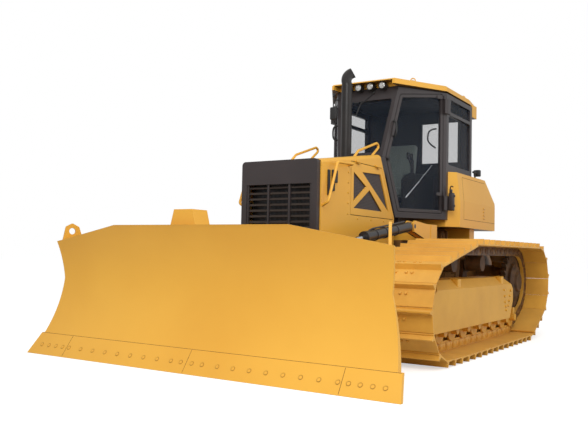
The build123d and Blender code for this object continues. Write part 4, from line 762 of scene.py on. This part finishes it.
def onScreen(x, z, out):  # a point in front of the windscreen, which leans back as it rises
    (footY, footZ), (headY, headZ) = wiper["screenFoot"], wiper["screenHead"]
    y = footY + (headY - footY) * (z - footZ) / (headZ - footZ)
    return Vector((x, y + 0.02 - out, z))


arm = addBar(onScreen(*wiper["pivot"], 0.03), onScreen(*wiper["tip"], 0.022), 0.005, 8)
tipX, tipZ = wiper["tip"]
squeegee = addBar(onScreen(tipX - 0.05, tipZ - wiper["bladeHalf"], 0.012),
                  onScreen(tipX + 0.04, tipZ + wiper["bladeHalf"], 0.012), 0.008, 6)
hub = addBar(onScreen(*wiper["pivot"], 0.0), onScreen(*wiper["pivot"], 0.045), 0.014, 14, 0.003)
settle(joinPieces([arm, squeegee, hub]), "wiper", "chassis", moulded)

# Lifting rings on the roof
roofRing = {"places": ((0.505, 0.71), (-0.505, 0.71), (0.70, 1.95), (-0.70, 1.95)), "z": 3.158,
            "radius": 0.027, "wire": 0.007, "turn": (90, 0, 20)}
roofRings = []
for x, y in roofRing["places"]:
    clearSelection()
    bpy.ops.mesh.primitive_torus_add(major_segments=24, minor_segments=10, major_radius=roofRing["radius"],
                                     minor_radius=roofRing["wire"], location=(x, y, roofRing["z"]),
                                     rotation=[math.radians(angle) for angle in roofRing["turn"]])
    ring = bpy.context.object
    pickFaces(ring, lambda face: face.calc_center_median().y < -0.022)
    bpy.ops.transform.resize(value=(1.4, 1, 1.3))
    bpy.ops.object.mode_set(mode="OBJECT")
    roofRings.append(ring)
settle(joinPieces(roofRings), "roof_rings", "chassis", enamel, 60)

# Moulded trim inside the rear wall, which leaves its window open on the left
trim = {"half": 0.655, "foot": 2.10, "head": 3.02, "face": 1.96, "wall": 2.008,
        "window": (0.105, 0.625, 2.295, 2.845),
        "ventCount": 9, "ventXs": (-0.42, -0.12), "ventFoot": 2.42, "ventPitch": 0.024, "ventHeight": 0.012}
left, right, sill, head = trim["window"]
panels = [
    addBlock((-trim["half"], trim["face"], trim["foot"]), (left, trim["wall"], trim["head"]), 0.014, 3),
    addBlock((left - 0.012, trim["face"], head), (trim["half"], trim["wall"], trim["head"]), 0.012, 3),
    addBlock((left - 0.012, trim["face"], trim["foot"]), (trim["half"], trim["wall"], sill), 0.012, 3),
    addBlock((right, trim["face"], sill - 0.012), (trim["half"], trim["wall"], head + 0.012), 0.010, 3),
]
x0, x1 = trim["ventXs"]
for k in range(trim["ventCount"]):  # air vents of the cab's heater
    z = trim["ventFoot"] + k * trim["ventPitch"]
    panels.append(addBlock((x0, trim["face"] - 0.006, z),
                           (x1, trim["face"] + 0.004, z + trim["ventHeight"]), 0.003))
settle(joinPieces(panels), "rear_trim", "chassis", moulded)

# Headliner under the roof
headliner = {"low": (-0.60, 0.95, 3.0), "high": (0.60, 1.99, 3.04)}
lining = addBlock(headliner["low"], headliner["high"], 0.008)
pickFaces(lining, lambda face: face.normal.z < -0.9)
bpy.ops.mesh.inset(thickness=0.05, depth=0)
bpy.ops.mesh.inset(thickness=0.01, depth=-0.006)
bpy.ops.object.mode_set(mode="OBJECT")
settle(lining, "headliner", "chassis", moulded)
print("cab fittings finished")

# Seat: rails, bellows, cushion and a back with sewn channels
seat = {
    "middleY": 1.18,
    "floor": 1.515,
    "cushion": ((-0.255, 0.945, 1.765), (0.255, 1.41, 1.88)),
    "back": ((-0.235, 1.33, 1.86), (0.235, 1.44, 2.48)),
    "backLean": 10.0,  # degrees
    "channels": 5,
    "crown": 0.020,
    "plate": ((-0.22, 0.98, 1.70), (0.22, 1.38, 1.765)),
    "folds": 6,
    "foldReach": (0.185, 0.17),  # of every other fold
    "foldPitch": 0.028,
    "railXs": (-0.15, 0.15),
    "railYs": (0.99, 1.37),
}


def addPad(low, high, face, channels):  # a stuffed pad, crowned on one face, with channels sewn along it
    clearSelection()
    pad = addBlock(low, high, 0.03, 3)
    bpy.ops.object.mode_set(mode="EDIT")
    bpy.ops.mesh.select_all(action="SELECT")
    bpy.ops.mesh.subdivide(number_cuts=13)
    bpy.ops.object.mode_set(mode="OBJECT")
    middle = (Vector(low) + Vector(high)) / 2
    half = (Vector(high) - Vector(low)) / 2
    for vertex in pad.data.vertices:
        away = [(vertex.co[i] - middle[i]) / half[i] for i in range(3)]
        toFace = max(0.0, away[face[0]] * face[1])
        across, along = [away[i] for i in range(3) if i != face[0]]
        swell = (1 - across ** 2) * (1 - along ** 2)
        groove = abs(math.sin(across * math.pi * channels / 2)) ** 0.5 if channels else 1
        rise = seat["crown"] * (swell * 0.7 + (groove - 1) * 0.8 * max(swell, 0) ** 0.3)
        vertex.co[face[0]] += face[1] * toFace * rise
    applyModifier(pad, "SMOOTH", factor=0.3, iterations=1)
    applyModifier(pad, "SUBSURF", levels=1, render_levels=1)
    return pad


cushion = addPad(*seat["cushion"], (2, 1), 4)
settle(cushion, "seat_cushion", "chassis", seatFabric, 180)
back = addPad(*seat["back"], (1, -1), seat["channels"])
foot = Vector((0, seat["back"][1][1], seat["back"][0][2]))
back.matrix_world = (Matrix.Translation(foot) @ Matrix.Rotation(math.radians(-seat["backLean"]), 4, "X")
                     @ Matrix.Translation(-foot))
settle(back, "seat_back", "chassis", seatFabric, 180)
for pad in (cushion, back):
    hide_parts("seat")
base = addBlock(*seat["plate"], 0.012)
bellows = []
for k in range(seat["folds"]):
    reach = seat["foldReach"][k % 2]
    z = seat["floor"] + 0.02 + k * seat["foldPitch"]
    bellows.append(addBlock((-reach, seat["middleY"] - reach, z),
                            (reach, seat["middleY"] + reach, z + 0.03), 0.010))
y0, y1 = seat["railYs"]
rails = [addBlock((x - 0.02, y0, seat["floor"]), (x + 0.02, y1, seat["floor"] + 0.03), 0.005)
         for x in seat["railXs"]]
settle(joinPieces([base] + bellows + rails), "seat_base", "chassis", moulded)

# Control levers on the consoles, each with a rounded grip and a plate round its foot
lever = {
    "places": ((0.40, 0.96, 0.03), (-0.40, 0.96, -0.03), (0.36, 1.08, 0.0), (-0.36, 1.08, 0.0)),  # x, y, lean
    "foot": 2.02,
    "bend": 2.14,
    "top": 2.24,
    "gripZs": (2.22, 2.31),
    "plateHalf": 0.04,
    "plateTop": 2.05,
}
half = lever["plateHalf"]
low, high = lever["gripZs"]
levers = []
for x, y, inward in lever["places"]:
    levers.append(addPipe([(x, y, lever["foot"]), (x, y - 0.01, lever["bend"]),
                           (x - inward, y - 0.05, lever["top"])], 0.010))
    levers.append(addBlock((x - inward - 0.02, y - 0.075, low),
                           (x - inward + 0.02, y - 0.03, high), 0.016, 3))
    levers.append(addBlock((x - half, y - half, lever["foot"]),
                           (x + half, y + half, lever["plateTop"]), 0.012))
settle(joinPieces(levers), "control_levers", "chassis", moulded)
print("seat and controls finished")

# Radiator housing: latches and seam bolts, then the oil pipes along the lift cylinders
housing = {
    "side": 0.465,
    "latches": (
        ((-1.275, 1.60), (-1.245, 1.855)),
        ((-1.19, 1.735), (-1.095, 1.862)),
        ((-1.20, 1.648), (-1.15, 1.73)),
    ),
    "seamY": -0.838,
    "seamZs": (1.44, 1.55, 1.66, 1.765, 1.87),
    "footYs": (-0.62, -0.30, 0.02),
    "footZ": 1.40,
}
latches = []
for (y0, z0), (y1, z1) in housing["latches"]:
    block = addBlock((housing["side"] - 0.004, y0, z0), (housing["side"] + 0.022, y1, z1), 0.007, 2)
    pickFaces(block, lambda face: face.normal.x > 0.98)
    bpy.ops.mesh.inset(thickness=0.008, depth=-0.005)
    bpy.ops.object.mode_set(mode="OBJECT")
    latches.append(block)
settle(mirrorAcross(joinPieces(latches)), "housing_latches", "chassis", moulded)
places = [facing((side * housing["side"], housing["seamY"], z), (side, 0, 0)) for z in housing["seamZs"]
          for side in (-1, 1)]
places += [facing((side * housing["side"], y, housing["footZ"]), (side, 0, 0)) for y in housing["footYs"]
           for side in (-1, 1)]
settle(repeatPiece(addBoltHead(0.009, 0.007), places), "housing_bolts", "chassis", enamel)

lift = {"base": (0.78, 0.06, 1.345), "eye": (0.78, -1.80, 1.09), "barrel": 1.15, "radius": 0.054}
along = (Vector(lift["eye"]) - Vector(lift["base"])).normalized()
above = Vector((0, along.z, -along.y)).normalized()
for side, word in ((1, "left"), (-1, "right")):
    flip = Matrix.Scale(side, 4, (1, 0, 0))
    base = Vector(lift["base"])
    near, far = base + along * 0.16, base + along * (lift["barrel"] - 0.09)
    up = lift["radius"] + 0.016
    out = Vector((0.035, 0, 0))
    route = [near + above * 0.04, near + above * up, near + along * 0.06 + above * up + out * 0.4,
             far - along * 0.2 + above * up + out * 0.4, far - along * 0.06 + above * up, far + above * 0.045]
    pieces = [addPipe([flip @ place for place in route], 0.009)]
    for share in (0.3, 0.6, 0.85):
        at = near.lerp(far, share)
        pieces.append(addBar(flip @ (at - along * 0.014), flip @ (at + along * 0.014),
                             lift["radius"] + 0.006, 28, 0.002))
    settle(joinPieces(pieces), "lift_pipe_" + word, f"lift_barrel_{word}_body", barrelPaint)
print("housing and cylinders finished")

# Transmission case on the hull, between the support beams: ribbed casting with two capped bosses a side
gearCase = {"half": 0.56, "front": 0.74, "rear": 1.82, "foot": 1.196, "top": 1.372, "ribs": 5,
            "bossYs": (0.98, 1.52), "bossZ": 1.285}
body = addBlock((-gearCase["half"], gearCase["front"], gearCase["foot"]),
                (gearCase["half"], gearCase["rear"], gearCase["top"]), 0.045, 4)
ribs = [body]
for k in range(gearCase["ribs"]):
    y = gearCase["front"] + 0.12 + k * (gearCase["rear"] - gearCase["front"] - 0.24) / (gearCase["ribs"] - 1)
    ribs.append(addBlock((-gearCase["half"] - 0.035, y - 0.016, gearCase["foot"] + 0.005),
                         (gearCase["half"] + 0.035, y + 0.016, gearCase["top"] - 0.02), 0.012, 3))
for side in (-1, 1):
    x, z = side * gearCase["half"], gearCase["bossZ"]
    for y in gearCase["bossYs"]:
        ribs.append(addBar((x - side * 0.02, y, z), (x + side * 0.045, y, z), 0.062, 28, 0.010))
        ribs.append(addBar((x + side * 0.04, y, z), (x + side * 0.06, y, z), 0.036, 24, 0.006))
# The case is brown enamel that stands for painted shade
settle(joinPieces(ribs), "transmission_case", "chassis", shadedEnamel)

# Chain guards: plates inside each track, on arms from the hull's sides
guard = {"x": 0.872, "plate": 0.016, "front": 1.22, "rear": 2.74, "foot": 0.72, "top": 1.035, "hull": 0.462,
         "arms": (1.34, 1.80, 2.42), "armZs": (0.955, 0.985), "stayZs": (0.80, 0.96)}
sheet = addBlock((guard["x"], guard["front"], guard["foot"]),
                 (guard["x"] + guard["plate"], guard["rear"], guard["top"]), 0.006)
pickFaces(sheet, lambda face: face.normal.z > 0.9)
bpy.ops.mesh.extrude_region_move(TRANSFORM_OT_translate={"value": (0, 0, 0.012)})
bpy.ops.object.mode_set(mode="OBJECT")
guards = [sheet]
for y in guard["arms"]:
    z0, z1 = guard["armZs"]
    guards.append(addBlock((guard["hull"], y - 0.03, z0), (guard["x"] + 0.004, y + 0.03, z1), 0.008))
    z0, z1 = guard["stayZs"]
    guards.append(addBlock((guard["x"] - 0.09, y - 0.008, z0), (guard["x"] + 0.004, y + 0.008, z1), 0.005))
# The guards are brown enamel that stands for painted shade
settle(mirrorAcross(joinPieces(guards)), "chain_guards", "chassis", shadedEnamel)

# Rear body: panel joints, a column of short bars on each side, filler cap and lamp brackets
tank = {
    "side": 0.915,
    "lean": 0.035,  # its side draws in by this much above the crease
    "crease": 1.72,
    "top": 2.07,
    "upperLine": (1.42, 2.32, 2.022),
    "lowerLine": (1.42, 2.69, 1.49),
    "stepY": 2.215,
    "stepZs": (1.535, 1.58, 1.625, 1.67),
}


def tankSide(z):
    return tank["side"] - tank["lean"] * max(0.0, z - tank["crease"]) / (tank["top"] - tank["crease"])


lines = []
for y0, y1, z in (tank["upperLine"], tank["lowerLine"]):
    x = tankSide(z) - 0.0006
    lines.append(addBar((x, y0, z), (x, y1, z), 0.0026, 8))
x0, x1 = tankSide(tank["lowerLine"][2]), tankSide(tank["upperLine"][2])
y = tank["upperLine"][0]
lines.append(addBar((x0 - 0.0006, y, tank["lowerLine"][2]), (x0 - 0.0006, y, tank["crease"]), 0.0022, 8))
lines.append(addBar((x0 - 0.0006, y, tank["crease"]), (x1 - 0.0006, y, tank["upperLine"][2]), 0.0022, 8))
settle(mirrorAcross(joinPieces(lines)), "tank_joints", "chassis", jointShadow)
steps = [addBlock((tank["side"] - 0.004, tank["stepY"] - 0.035, z - 0.008),
                  (tank["side"] + 0.010, tank["stepY"] + 0.035, z + 0.008), 0.005) for z in tank["stepZs"]]
settle(mirrorAcross(joinPieces(steps)), "tank_slots", "chassis", enamel)
filler = {"place": (-0.55, 2.18), "capZs": (2.068, 2.095), "knobZs": (2.093, 2.108)}
low, high = filler["capZs"]
cap = addBar((*filler["place"], low), (*filler["place"], high), 0.055, 24, 0.006)
low, high = filler["knobZs"]
neck = addBar((*filler["place"], low), (*filler["place"], high), 0.038, 24, 0.004)
settle(joinPieces([cap, neck]), "filler_cap", "chassis", stovePaint)

rearLamp = {
    "x": 0.80,
    "footYs": (2.14, 2.26),
    "footZs": (2.068, 2.09),
    "postY": 2.17,
    "postZs": (2.08, 2.19),
    "armYs": (2.10, 2.30),
    "armZ": 2.165,
    "caseYs": (2.24, 2.30),
    "caseZs": (2.12, 2.21),
}
bracket = []
for side in (-1, 1):
    x = side * rearLamp["x"]
    (y0, y1), (z0, z1) = rearLamp["footYs"], rearLamp["footZs"]
    bracket.append(addBlock((x - 0.02, y0, z0), (x + 0.02, y1, z1), 0.005))
    y, (z0, z1) = rearLamp["postY"], rearLamp["postZs"]
    bracket.append(addBar((x, y, z0), (x, y, z1), 0.012, 12, 0.002))
    (y0, y1), z = rearLamp["armYs"], rearLamp["armZ"]
    bracket.append(addBar((x, y0, z), (x, y1, z), 0.016, 12, 0.003))
    (y0, y1), (z0, z1) = rearLamp["caseYs"], rearLamp["caseZs"]
    bracket.append(addBlock((x - 0.045, y0, z0), (x + 0.045, y1, z1), 0.012, 3))
settle(joinPieces(bracket), "rear_lamp_brackets", "chassis", moulded)
print("rear body finished")
